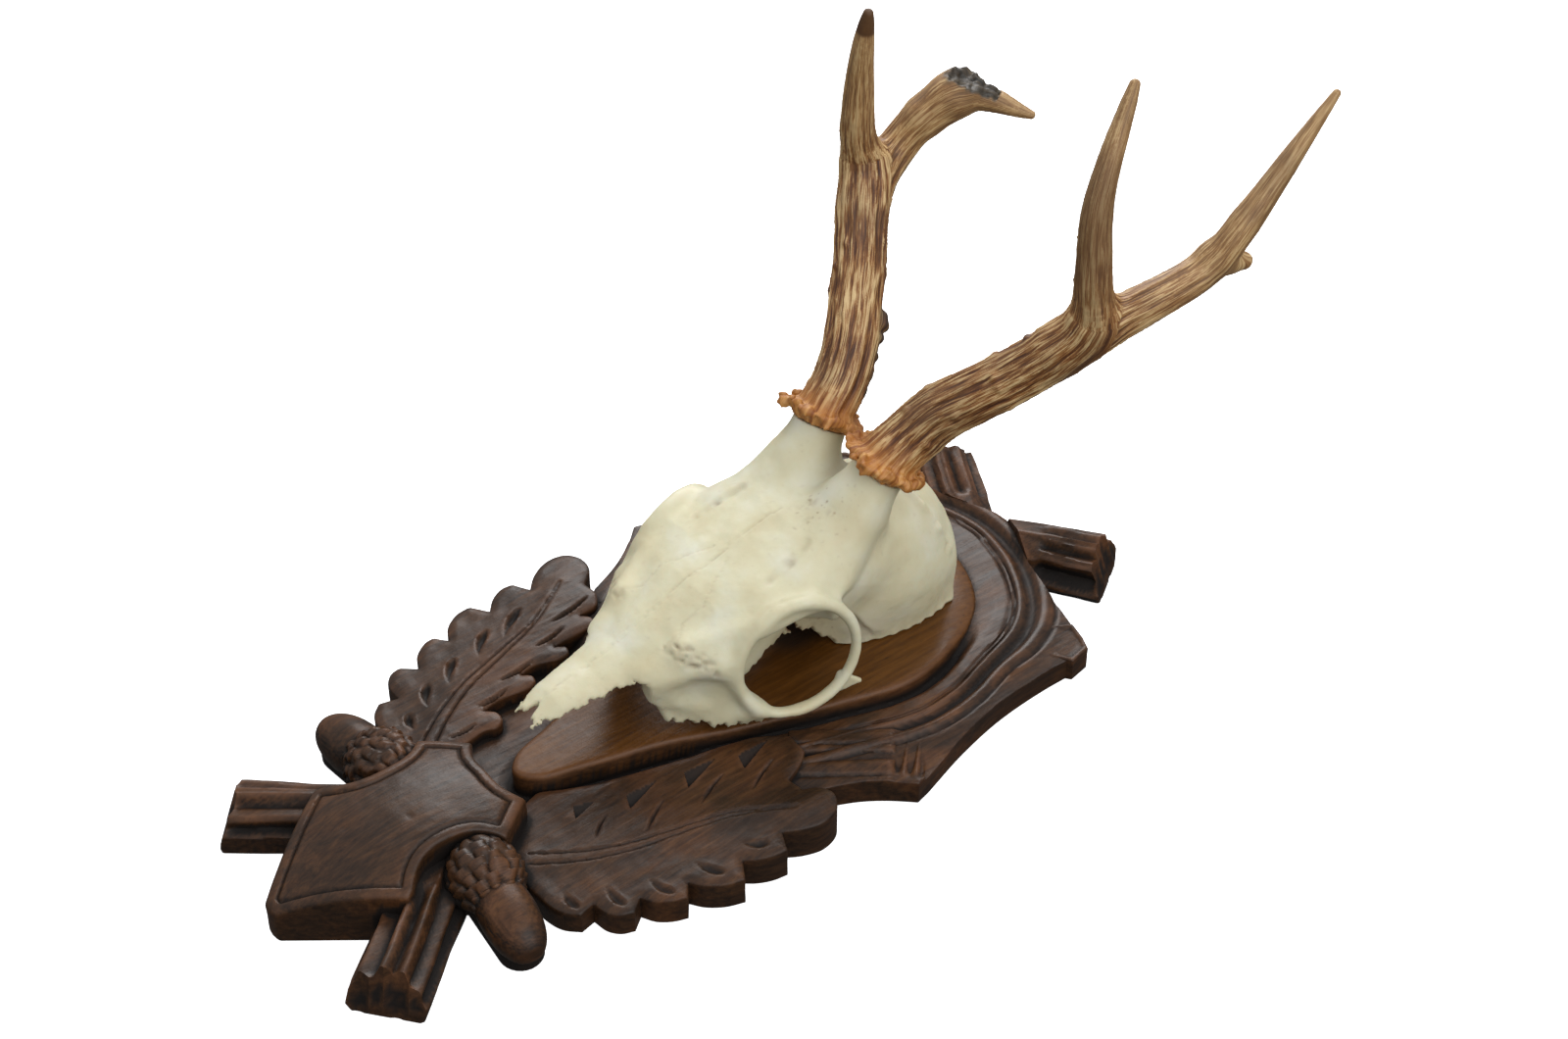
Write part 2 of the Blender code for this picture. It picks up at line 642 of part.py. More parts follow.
def turned_ring(name, centre, collection):
    """The eye socket's bony ring, facing outwards, a little forwards and up."""
    side = 1.0 if centre[0] > 0 else -1.0
    bpy.ops.mesh.primitive_torus_add(
        major_radius=(ORBIT_RADIUS + ORBIT_RIM) * MM,
        minor_radius=ORBIT_RIM * MM,
        major_segments=28,
        minor_segments=10,
    )
    ring = bpy.context.object
    ring.name = name
    for owner in list(ring.users_collection):
        owner.objects.unlink(ring)
    collection.objects.link(ring)
    face = Matrix.Rotation(math.radians(90.0), 4, "Y")
    tilt = Matrix.Rotation(math.radians(-ORBIT_TILT * side), 4, "Y")
    turn = Matrix.Rotation(math.radians(-ORBIT_TURN * side), 4, "Z")
    ring.matrix_world = Matrix.Translation(Vector(centre) * MM) @ turn @ tilt @ face
    return ring


def both_sides(balls):
    """Balls of the right half with their mirror images."""
    return [((x * side, y, z), radius) for side in (1, -1) for (x, y, z), radius in balls]


def skull_forms(collection):
    ellipsoid("cranium", CRANIUM_CENTRE, CRANIUM_SEMI_AXES, collection, 32, 20)
    for name, balls in (("forehead", FOREHEAD), ("brow", BROW), ("face", FACE), ("inner_wall", INNER_WALL)):
        hull(name, both_sides(balls), collection)
    tip = ((NOSE_TIP_HALF_WIDTH, NOSE_TIP_Y, NOSE_TIP_Z), NOSE_TIP_ROUND)
    ridge = ((0.0, NOSE_TIP_Y + NOSE_RIDGE_BACK, NOSE_TIP_Z + NOSE_RIDGE_RISE), NOSE_TIP_ROUND)
    hull("nose", both_sides([tip, ridge] + [(place, NOSE_THICK) for place in NOSE_ROOT]), collection)
    for side in (1, -1):
        x, y, z = ORBIT_CENTRE
        turned_ring("socket_ring", (x * side, y, z), collection)
        for name, balls in (("cheek", CHEEK), ("tear_bone", TEAR_BONE), ("spur", SPUR)):
            hull(name, [((px * side, py, pz), radius) for (px, py, pz), radius in balls], collection)
        base = (PEDICLE_BASE[0] * side, PEDICLE_BASE[1], PEDICLE_BASE[2])
        top = pedicle_top(side)
        hull("pedicle", [(base, PEDICLE_RADIUS + PEDICLE_FLARE), (top, PEDICLE_RADIUS)], collection)


def pedicle_way(side):
    base = Vector((PEDICLE_BASE[0] * side, PEDICLE_BASE[1], PEDICLE_BASE[2]))
    burr = Vector((BURR_CENTRE[0] * side, BURR_CENTRE[1], BURR_CENTRE[2]))
    return (burr - base).normalized()


def pedicle_top(side):
    burr = Vector((BURR_CENTRE[0] * side, BURR_CENTRE[1], BURR_CENTRE[2]))
    return burr - pedicle_way(side) * BURR_THICK * 0.5


def disc(name, side, low, high, radius, collection, segments=24):
    """A round block square to the pedicle, between two distances along it from the burr's middle."""
    bm = bmesh.new()
    bmesh.ops.create_cone(
        bm, cap_ends=True, segments=segments, radius1=radius * MM, radius2=radius * MM, depth=(high - low) * MM
    )
    obj = mesh_object(name, bm, collection)
    way = pedicle_way(side)
    centre = Vector((BURR_CENTRE[0] * side, BURR_CENTRE[1], BURR_CENTRE[2])) + way * (high + low) / 2
    obj.matrix_world = Matrix.Translation(centre * MM) @ way.to_track_quat("Z", "Y").to_matrix().to_4x4()
    return obj


def joined(name, source, collection):
    """One mesh object of all the shapes in a collection, still overlapping."""
    bm = bmesh.new()
    bpy.context.view_layer.update()
    for obj in source.objects:
        mesh = obj.data.copy()
        mesh.transform(obj.matrix_world)
        bm.from_mesh(mesh)
        bpy.data.meshes.remove(mesh)
    bmesh.ops.recalc_face_normals(bm, faces=bm.faces)
    return mesh_object(name, bm, collection)


def build_skull(collection, bone):
    forms = new_collection("skull_forms", hidden=True)
    cuts = new_collection("skull_cuts", hidden=True)
    skull_forms(forms)
    skull = joined("skull", forms, collection)
    remesh = skull.modifiers.new("bone", "REMESH")
    remesh.mode = "VOXEL"
    remesh.voxel_size = BONE_CELL * MM
    smooth = skull.modifiers.new("soften", "SMOOTH")
    smooth.factor = 0.5
    smooth.iterations = 3
    settle(skull)
    for side in (1, -1):
        x, y, z = ORBIT_CENTRE
        turn = math.radians(-ORBIT_TURN * side)
        ellipsoid("socket", (x * side, y, z), (SOCKET_DEPTH, ORBIT_RADIUS, ORBIT_RADIUS), cuts, 28, 16, turn)
        under = (SOCKET_FLOOR[0] * side, SOCKET_FLOOR[1], SOCKET_FLOOR[2])
        ellipsoid("socket_floor", under, SOCKET_FLOOR_AXES, cuts, 20, 12)
        disc("pedicle_cut", side, -BURR_THICK / 2 - GAP, PEDICLE_CUT_REACH, PEDICLE_CUT_RADIUS, cuts)
    tube("nose_hollow", NOSE_HOLLOW, NOSE_HOLLOW_RADII, cuts, 4)
    box("seat", (-BEYOND, -BEYOND, -BEYOND), (BEYOND, BEYOND, SKULL_SEAT), cuts)
    boolean(skull, "DIFFERENCE", cuts)
    settle(skull)
    fewer = skull.modifiers.new("fewer", "DECIMATE")
    fewer.ratio = SKULL_SHARE
    skull.data.materials.append(bone)
    return skull


def build_antler(side, front, back, snag, collection, horn):
    word = "right" if side > 0 else "left"
    forms = new_collection("antler_forms_" + word, hidden=True)
    beam = [Vector((BURR_CENTRE[0], BURR_CENTRE[1], BURR_CENTRE[2]))] + [Vector(p) for p in BEAM_ROUTE]
    route = through(beam, 2)
    radii = [mix(BEAM_RADIUS, CROTCH_RADIUS, i / (len(route) - 1)) for i in range(len(route))]
    antler = tube("antler", [(p.x * side, p.y, p.z) for p in route], radii, collection, 3)
    antler.name = "antler_" + word
    for name, tine in (("front", front), ("back", back)):
        points = through([Vector(BEAM_ROUTE[-2]), Vector(BEAM_ROUTE[-1])] + [Vector(p) for p in tine], 2)[1:]
        count = len(points)
        shares = [(i / (count - 1)) ** TINE_TAPER for i in range(count)]
        sizes = [mix(TINE_RADIUS + TINE_ROOT, TIP_RADIUS, share) for share in shares]
        tube("tine_" + name, [(p.x * side, p.y, p.z) for p in points], sizes, forms, 2)
    snag_balls = [((x * side, y, z), SNAG_RADIUS) for x, y, z in snag]
    snag_balls.append(((back[1][0] * side, *back[1][1:]), SNAG_ROOT_RADIUS))
    hull("snag", snag_balls, forms)
    disc("burr_seat", side, -BURR_THICK / 2, BURR_THICK / 2, BURR_RADIUS * BURR_CORE_SHARE, forms)
    way = pedicle_way(side)
    centre = Vector((BURR_CENTRE[0] * side, BURR_CENTRE[1], BURR_CENTRE[2]))
    first = way.orthogonal().normalized()
    second = way.cross(first)
    for i in range(BURR_KNOBS):
        angle = math.tau * i / BURR_KNOBS
        place = centre + (first * math.cos(angle) + second * math.sin(angle)) * (BURR_RADIUS - KNOB_RADIUS)
        size = KNOB_RADIUS + KNOB_CHANGE * math.sin(KNOB_TURN * i)
        ellipsoid("burr_knob", place, (size, size, size * 0.9), forms, 6, 4)
    boolean(antler, "UNION", forms)
    under = new_collection("antler_under_" + word, hidden=True)
    disc("burr_under", side, -UNDER_REACH, -BURR_THICK / 2, UNDER_REACH, under)
    boolean(antler, "DIFFERENCE", under)
    antler.data.materials.append(horn)
    return antler


def finish(parts):
    """Round forms shaded smooth, and everything stood up against the wall."""
    stand = bpy.data.objects.new("wall_stand", None)
    bpy.context.scene.collection.objects.link(stand)
    stand.rotation_euler = (math.radians(90.0), 0.0, 0.0)
    for obj in list(bpy.data.objects):
        if obj is stand:
            continue
        obj.parent = stand
        if obj not in parts:
            obj.hide_render = True
            obj.display_type = "WIRE"
    for obj in parts:
        obj.data.shade_smooth()
        obj.data.set_sharp_from_angle(angle=math.radians(32.0))
    bpy.context.view_layer.update()


def main():
    clear_scene()
    parts = new_collection("antler_mounting_plaque")
    wood = material("stained_wood", (0.075, 0.028, 0.014), 0.42)
    bone = material("bleached_bone", (0.80, 0.74, 0.56), 0.55)
    horn = material("antler_horn", (0.30, 0.16, 0.07), 0.5)
    made = [build_plaque(parts, wood), build_skull(parts, bone)]
    made.append(build_antler(1, RIGHT_FRONT_TINE, RIGHT_BACK_TINE, RIGHT_SNAG, parts, horn))
    made.append(build_antler(-1, LEFT_FRONT_TINE, LEFT_BACK_TINE, LEFT_SNAG, parts, horn))
    finish(made)


main()
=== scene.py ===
"""The carved oak-leaf plaque with its cut roe skull and antlers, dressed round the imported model.

Shapes are worked out in millimetres in the plaque's own axes: x to the viewer's right, y up the board and
h out of the wall. stand() turns them into the row's metres: (x, -h, y).
"""

import math

import bmesh
import bpy
import numpy as np
from mathutils import Matrix, Vector, geometry
from mathutils.bvhtree import BVHTree


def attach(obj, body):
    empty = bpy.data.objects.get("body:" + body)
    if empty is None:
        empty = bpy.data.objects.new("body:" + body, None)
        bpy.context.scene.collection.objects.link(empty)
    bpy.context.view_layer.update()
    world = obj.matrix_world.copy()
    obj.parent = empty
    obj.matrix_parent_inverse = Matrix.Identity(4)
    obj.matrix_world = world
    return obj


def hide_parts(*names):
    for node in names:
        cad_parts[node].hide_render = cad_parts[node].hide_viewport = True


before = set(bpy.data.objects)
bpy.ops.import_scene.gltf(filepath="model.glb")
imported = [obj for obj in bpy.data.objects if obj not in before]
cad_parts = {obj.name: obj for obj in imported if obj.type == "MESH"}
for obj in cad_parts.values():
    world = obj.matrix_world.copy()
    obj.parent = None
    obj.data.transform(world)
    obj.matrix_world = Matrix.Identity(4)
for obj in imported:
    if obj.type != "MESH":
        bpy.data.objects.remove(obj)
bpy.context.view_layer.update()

MM = 0.001
FINE = 1.0
PAD_TOP = 16.0
SEAT = 16.3  # the skull's underside
FAR = 1e9
TINY = 1e-12  # keeps a division clear of nought
SIDES = {1: "right", -1: "left"}


# Numbers and noise


def mix(a, b, t):
    return a + (b - a) * t


def unit(vector):
    return vector / np.linalg.norm(vector)


def units(rows):
    """Each row as a vector of length 1."""
    return rows / (np.linalg.norm(rows, axis=1)[:, None] + TINY)


def smooth_step(low, high, value):
    t = np.clip((value - low) / (high - low), 0.0, 1.0)
    return t * t * (3.0 - 2.0 * t)


def lattice(i, seed):
    """A repeatable number from 0 to 1 for each row of whole numbers."""
    n = seed * 1274126177 + 12345
    for k, prime in enumerate((374761393, 668265263, 1442695041)):
        if k < i.shape[-1]:
            n = n + i[..., k] * prime
    n = (n ^ (n >> 13)) * 1274126177
    n = n & 0x7FFFFFFF
    return ((n ^ (n >> 16)) & 0xFFFF) / 65535.0


def noise(points, size, seed=0):
    """Smooth value noise from -1 to 1 with features of that size, for 2 or 3 coordinates."""
    q = points / np.asarray(size, dtype=float)
    i = np.floor(q).astype(np.int64)
    f = q - i
    f = f * f * (3.0 - 2.0 * f)
    total = 0.0
    dims = q.shape[-1]
    for corner in range(1 << dims):
        offset = np.array([(corner >> k) & 1 for k in range(dims)])
        weight = np.prod(np.where(offset == 1, f, 1.0 - f), axis=-1)
        total = total + weight * lattice(i + offset, seed)
    return total * 2.0 - 1.0


def spline(points, step=1.0):
    """Points every step along a smooth curve through the given ones, with both ends."""
    p = np.asarray(points, dtype=float)
    p = np.vstack([p[0] * 2 - p[1], p, p[-1] * 2 - p[-2]])
    out = []
    for a, b, c, d in zip(p, p[1:], p[2:], p[3:]):
        count = max(2, int(math.ceil(np.linalg.norm(c - b) / step)))
        t = (np.arange(count) / count)[:, None]
        out.append(0.5 * (2 * b + (c - a) * t + (2 * a - 5 * b + 4 * c - d) * t**2 + (3 * b - a - 3 * c + d) * t**3))
    out.append(p[-2][None])
    return np.vstack(out)


def straight(a, b, step=1.0):
    a = np.asarray(a, dtype=float)
    b = np.asarray(b, dtype=float)
    count = max(1, int(math.ceil(np.linalg.norm(b - a) / step)))
    return a + (b - a) * (np.arange(count + 1) / count)[:, None]


def path(*runs, step=1.0):
    """A closed outline of smooth runs that meet in corners. Each run is a list of points."""
    out = []
    for run, after in zip(runs, runs[1:] + runs[:1]):
        curve = spline(run, step) if len(run) > 2 else straight(run[0], run[1] if len(run) > 1 else after[0], step)
        out.append(curve)
        gap = np.linalg.norm(curve[-1] - np.asarray(after[0], dtype=float))
        if gap > 1e-6:
            out.append(straight(curve[-1], after[0], step)[1:-1])
        else:
            out[-1] = curve[:-1]
    return np.vstack(out)


def eased(count):
    """Shares from 0 to 1 that lie closer at both ends."""
    return (1.0 - np.cos(np.linspace(0.0, math.pi, count))) / 2


def around(angles, radius, along):
    """A ring of points, as the place of noise that runs round a bar without a seam."""
    return np.stack([np.cos(angles) * radius, np.sin(angles) * radius, np.full(len(angles), along)], axis=1)


def bow(a, b, sag):
    """Five points from a to b, bowed to the right of the way by sag."""
    a = np.asarray(a, dtype=float)
    b = np.asarray(b, dtype=float)
    way = unit(b - a)
    side = np.array([way[1], -way[0]])
    t = np.linspace(0.0, 1.0, 5)[:, None]
    return a + (b - a) * t + side * sag * np.sin(math.pi * t)


def both_sides(half):
    """A closed outline from its right half, bottom to top, both ends on the axis."""
    left = half[::-1] * np.array([-1.0, 1.0])
    return np.vstack([half, left[1:-1]])


def mirrored_outline(runs, step):
    """A closed outline from the runs of its right half, bottom to top."""
    half = [spline(run, step)[:-1] if len(run) > 2 else straight(run[0], run[1], step)[:-1] for run in runs]
    return both_sides(np.vstack([*half, [runs[-1][-1]]]))


def inward_ways(outline):
    """The direction into a closed outline at each of its points."""
    way = units(np.roll(outline, -1, axis=0) - np.roll(outline, 1, axis=0))
    return np.stack([-way[:, 1], way[:, 0]], axis=1)


def to_lines(points, route):
    """Distance from each 2D point to an open polyline, and how far along it the nearest place is, 0 to 1."""
    best = np.full(len(points), FAR)
    place = np.zeros(len(points))
    count = len(route) - 1
    for i, (a, b) in enumerate(zip(route, route[1:])):
        way = b - a
        t = np.clip(((points - a) @ way) / max(way @ way, TINY), 0.0, 1.0)
        d = np.linalg.norm(points - a - t[:, None] * way, axis=1)
        near = d < best
        best = np.where(near, d, best)
        place = np.where(near, (i + t) / count, place)
    return best, place


def inside(points, outline):
    """Which points lie within a closed outline."""
    result = np.zeros(len(points), dtype=bool)
    x = points[:, 0]
    y = points[:, 1]
    for a, b in zip(outline, np.roll(outline, -1, axis=0)):
        if a[1] == b[1]:
            continue
        crossing = (a[1] > y) != (b[1] > y)
        result ^= crossing & (x < (b[0] - a[0]) * (y - a[1]) / (b[1] - a[1]) + a[0])
    return result


def to_edge(points, outline):
    """Distance from each 2D point to a closed outline, positive inside it."""
    closed = np.vstack([outline, outline[:1]])
    distance = to_lines(points, closed)[0]
    return np.where(inside(points, outline), distance, -distance)


# Meshes


def stand(p):
    return np.stack([p[:, 0], -p[:, 2], p[:, 1]], axis=1) * MM


def mesh_object(name, points, faces):
    """A smooth-shaded object from arrays: points in millimetres, faces as one array for each corner count."""
    mesh = bpy.data.meshes.new(name)
    groups = faces if isinstance(faces, list) else [faces]
    loops = np.concatenate([f.ravel() for f in groups]).astype(np.int32)
    totals = np.concatenate([np.full(len(f), f.shape[1]) for f in groups])
    starts = np.concatenate([[0], np.cumsum(totals)[:-1]]).astype(np.int32)
    mesh.vertices.add(len(points))
    mesh.vertices.foreach_set("co", stand(points).astype(np.float32).ravel())
    mesh.loops.add(len(loops))
    mesh.loops.foreach_set("vertex_index", loops)
    mesh.polygons.add(len(totals))
    mesh.polygons.foreach_set("loop_start", starts)
    mesh.update(calc_edges=True)
    mesh.validate()
    mesh.shade_smooth()
    obj = bpy.data.objects.new(name, mesh)
    bpy.context.scene.collection.objects.link(obj)
    return obj


def lie_down(rows, field):
    """One vector for each of a mesh's points, read in the plaque's own axes."""
    out = np.empty(len(rows) * 3, dtype=np.float32)
    rows.foreach_get(field, out)
    out = out.reshape(-1, 3).astype(float)
    return np.stack([out[:, 0], out[:, 2], -out[:, 1]], axis=1)


def places_of(obj):
    return lie_down(obj.data.vertices, "co") / MM


def normals_of(obj):
    return lie_down(obj.data.vertex_normals, "vector")


def paint(obj, name, values):
    """A number at each point for the material to read."""
    attribute = obj.data.attributes.get(name) or obj.data.attributes.new(name, "FLOAT", "POINT")
    attribute.data.foreach_set("value", np.clip(values, 0.0, 1.0).astype(np.float32))


def triangulate(outline, extra=()):
    """Triangles inside an outline, over it and the extra points: returns the points and the faces."""
    coords = [Vector(p) for p in [*outline, *extra]]
    loop = list(range(len(outline)))
    made = geometry.delaunay_2d_cdt(coords, [], [loop], 1, 1e-5)
    points = np.array([(v.x, v.y) for v in made[0]])
    faces = np.array([f for f in made[2] if len(f) == 3], dtype=np.int64)
    return points, faces


def rim_of(faces):
    """The boundary edges of triangles, each in the triangles' own direction."""
    edges = np.concatenate([faces[:, [0, 1]], faces[:, [1, 2]], faces[:, [2, 0]]])
    top = faces.max() + 1
    forward = edges[:, 0] * top + edges[:, 1]
    back = edges[:, 1] * top + edges[:, 0]
    return edges[~np.isin(forward, back)]


def spread(outline, spacing, rings, lines):
    """Points over the inside of an outline: rings along its edge, lines, and an even grid between."""
    ring_points = []
    inward = inward_ways(outline)
    for ring in rings:
        moved = outline + inward * ring
        ring_points.append(moved[to_edge(moved, outline) > ring * 0.93])
    for line in lines:
        kept = line[to_edge(line, outline) > rings[-1] * 0.6]
        if len(kept):
            ring_points.append(kept)
    fixed = np.vstack(ring_points)
    low = outline.min(axis=0)
    high = outline.max(axis=0)
    rows = np.arange(low[1], high[1], spacing * 0.866)
    grid = []
    for k, y in enumerate(rows):
        x = np.arange(low[0] + (k % 2) * spacing / 2, high[0], spacing)
        grid.append(np.stack([x, np.full(len(x), y)], axis=1))
    grid = np.vstack(grid)
    grid = grid[to_edge(grid, outline) > rings[-1] + spacing * 0.45]
    cell = spacing * 0.55
    taken = set(map(tuple, np.round(fixed / cell).astype(int)))
    free = [tuple(np.round(g / cell).astype(int)) not in taken for g in grid]
    thin = {}
    for p in fixed:
        thin.setdefault(tuple(np.round(p / (spacing * 0.22)).astype(int)), p)
    return np.vstack([np.array(list(thin.values())), grid[np.array(free)]])


def carve(name, outline, height, spacing=0.9, round_over=0.8, lines=(), wobble=0.12, base=0.0, levels=4):
    """A closed block: upright wobbling walls round an outline and a carved top with rounded edges."""
    spacing *= FINE
    rings = [round_over * 0.22, round_over * 0.6, round_over * 1.15]
    top, faces = triangulate(outline, spread(outline, spacing, rings, lines))
    edge = np.clip(to_edge(top, outline), 0.0, None)
    fall = np.clip(1.0 - edge / round_over, 0.0, 1.0)
    h = height(top) - round_over * (1.0 - np.sqrt(np.clip(1.0 - fall**2, 0.0, 1.0)))
    count = len(top)
    points = [np.column_stack([top, h])]
    rim = rim_of(faces)
    order = np.unique(rim)
    index = np.full(count, -1)
    index[order] = np.arange(len(order))
    sides = []
    below = order
    start = count
    way = np.zeros((count, 2))
    for a, b in rim:
        way[a] += top[b] - top[a]
        way[b] += top[b] - top[a]
    out = units(np.stack([way[order, 1], -way[order, 0]], axis=1))
    for level in range(1, levels + 1):
        share = level / levels
        z = mix(h[order], base, share)
        p3 = np.column_stack([top[order], z])
        push = noise(p3, (2.4, 2.4, 7.0), 5) + 0.6 * noise(p3, (6.0, 6.0, 3.0), 6)
        push *= wobble * math.sin(math.pi * share)
        points.append(np.column_stack([top[order] + out * push[:, None], z]))
        now = np.arange(start, start + len(order))
        a, b = index[rim].T
        sides.append(np.stack([below[b], below[a], now[a], now[b]], axis=1))
        below = now
        start += len(order)
    chain = {a: b for a, b in rim}
    loop = [rim[0][0]]
    while chain[loop[-1]] != loop[0]:
        loop.append(chain[loop[-1]])
    loop = np.array(loop)
    foot = points[-1][index[loop], :2]
    flat, under = triangulate(foot)
    nearest = ((flat[:, None] - foot[None]) ** 2).sum(axis=2).argmin(axis=1)
    remap = below[index[loop[nearest]]]
    under = remap[under][:, ::-1]
    return mesh_object(name, np.vstack(points), [np.vstack([faces, under]), np.vstack(sides)])


def carve_side(word, side, outline, height, spacing, round_over, lines=(), **walls):
    """A carved block on one side, from the outline, height and lines of its right-hand twin."""
    mirror = np.array([side, 1.0])
    turned = outline if side > 0 else outline[::-1] * mirror
    marks = [line * mirror for line in lines]
    return carve(f"{word}_{SIDES[side]}", turned, lambda p: height(p * mirror), spacing, round_over, marks, **walls)


def between(grid):
    """Four-cornered faces between the rows of a grid of point numbers that closes on itself."""
    a = grid[:-1]
    b = grid[1:]
    return np.stack([a, np.roll(a, -1, 1), np.roll(b, -1, 1), b], axis=-1).reshape(-1, 4)


def bar(name, route, section, ring):
    """A closed loft: section(i, angles) gives the radius at each angle round the route's i-th point."""
    route = np.asarray(route, dtype=float)
    way = units(np.gradient(route, axis=0))
    side = unit(np.cross(way[0], (0.0, 0.0, 1.0)))
    angles = np.arange(ring) / ring * math.tau
    points = []
    for i, (p, w) in enumerate(zip(route, way)):
        side = unit(side - w * (side @ w))
        up = np.cross(side, w)
        r = section(i, angles)
        points.append(p + np.outer(r * np.cos(angles), side) + np.outer(r * np.sin(angles), up))
    count = len(route)
    grid = np.arange(count * ring).reshape(count, ring)
    points = np.vstack(points + [route[:1], route[-1:]])
    first = count * ring
    start = np.stack([np.full(ring, first), np.roll(grid[0], -1), grid[0]], axis=1)
    end = np.stack([np.full(ring, first + 1), grid[-1], np.roll(grid[-1], -1)], axis=1)
    return outward(mesh_object(name, points, [np.vstack([start, end]), between(grid)]))


def outward(obj):
    """Faces turned so that the closed mesh holds a positive volume."""
    bm = bmesh.new()
    bm.from_mesh(obj.data)
    if bm.calc_volume(signed=True) < 0:
        bmesh.ops.reverse_faces(bm, faces=bm.faces)
        bm.to_mesh(obj.data)
    bm.free()
    return obj


def settle(obj):
    """Works the object's modifiers into its mesh."""
    bpy.context.view_layer.update()
    obj.data = bpy.data.meshes.new_from_object(obj.evaluated_get(bpy.context.evaluated_depsgraph_get()))
    obj.modifiers.clear()


def boolean(obj, operation):
    """A cut or join that is still to be given its other half and worked in."""
    modifier = obj.modifiers.new(operation, "BOOLEAN")
    modifier.operation = operation
    modifier.solver = "MANIFOLD"
    return modifier


def combined(name, shapes, cuts=()):
    """One closed object: all the shapes joined, less the cuts."""
    base = shapes[0]
    base.name = name
    for operation, group in (("UNION", shapes[1:]), ("DIFFERENCE", cuts)):
        if not group:
            continue
        collection = bpy.data.collections.new(name + operation)
        bpy.context.scene.collection.children.link(collection)
        for obj in group:
            collection.objects.link(obj)
        modifier = boolean(base, operation)
        modifier.operand_type = "COLLECTION"
        modifier.collection = collection
    settle(base)
    for obj in [*shapes[1:], *cuts]:
        bpy.data.objects.remove(obj, do_unlink=True)
    return base


# Surfaces from fields


def smooth_min(a, b, k):
    h = np.clip(k - np.abs(a - b), 0.0, None) / k
    return np.minimum(a, b) - h * h * k * 0.25


def smooth_max(a, b, k):
    return -smooth_min(-a, -b, k)


def ball(p, centre, radius):
    return np.linalg.norm(p - np.asarray(centre, dtype=p.dtype), axis=-1) - radius


def ellipsoid(p, centre, semi_axes):
    q = p - np.asarray(centre, dtype=p.dtype)
    a = np.asarray(semi_axes, dtype=p.dtype)
    k0 = np.linalg.norm(q / a, axis=-1)
    k1 = np.linalg.norm(q / (a * a), axis=-1) + 1e-6
    return k0 * (k0 - 1.0) / k1


def cone(p, a, b, ra, rb):
    """A bar with round ends and a radius at each."""
    a = np.asarray(a, dtype=p.dtype)
    way = np.asarray(b, dtype=p.dtype) - a
    t = np.clip(((p - a) @ way) / (way @ way), 0.0, 1.0)
    return np.linalg.norm(p - a - t[..., None] * way, axis=-1) - mix(ra, rb, t)


def sheet(p, a, b, c, radius):
    """A triangle of that thickness to either side."""
    a, b, c = (np.asarray(v, dtype=p.dtype) for v in (a, b, c))
    normal = np.cross(b - a, a - c)
    planes = []
    edges = []
    for u, v in ((a, b), (b, c), (c, a)):
        way = v - u
        planes.append(np.sign((p - u) @ np.cross(way, normal)))
        t = np.clip(((p - u) @ way) / (way @ way), 0.0, 1.0)
        rest = p - u - t[..., None] * way
        edges.append(np.einsum("...i,...i->...", rest, rest))
    outside = (planes[0] + planes[1] + planes[2]) < 2.0
    flat = ((p - a) @ normal) ** 2 / (normal @ normal)
    return np.sqrt(np.where(outside, np.minimum(np.minimum(edges[0], edges[1]), edges[2]), flat)) - radius


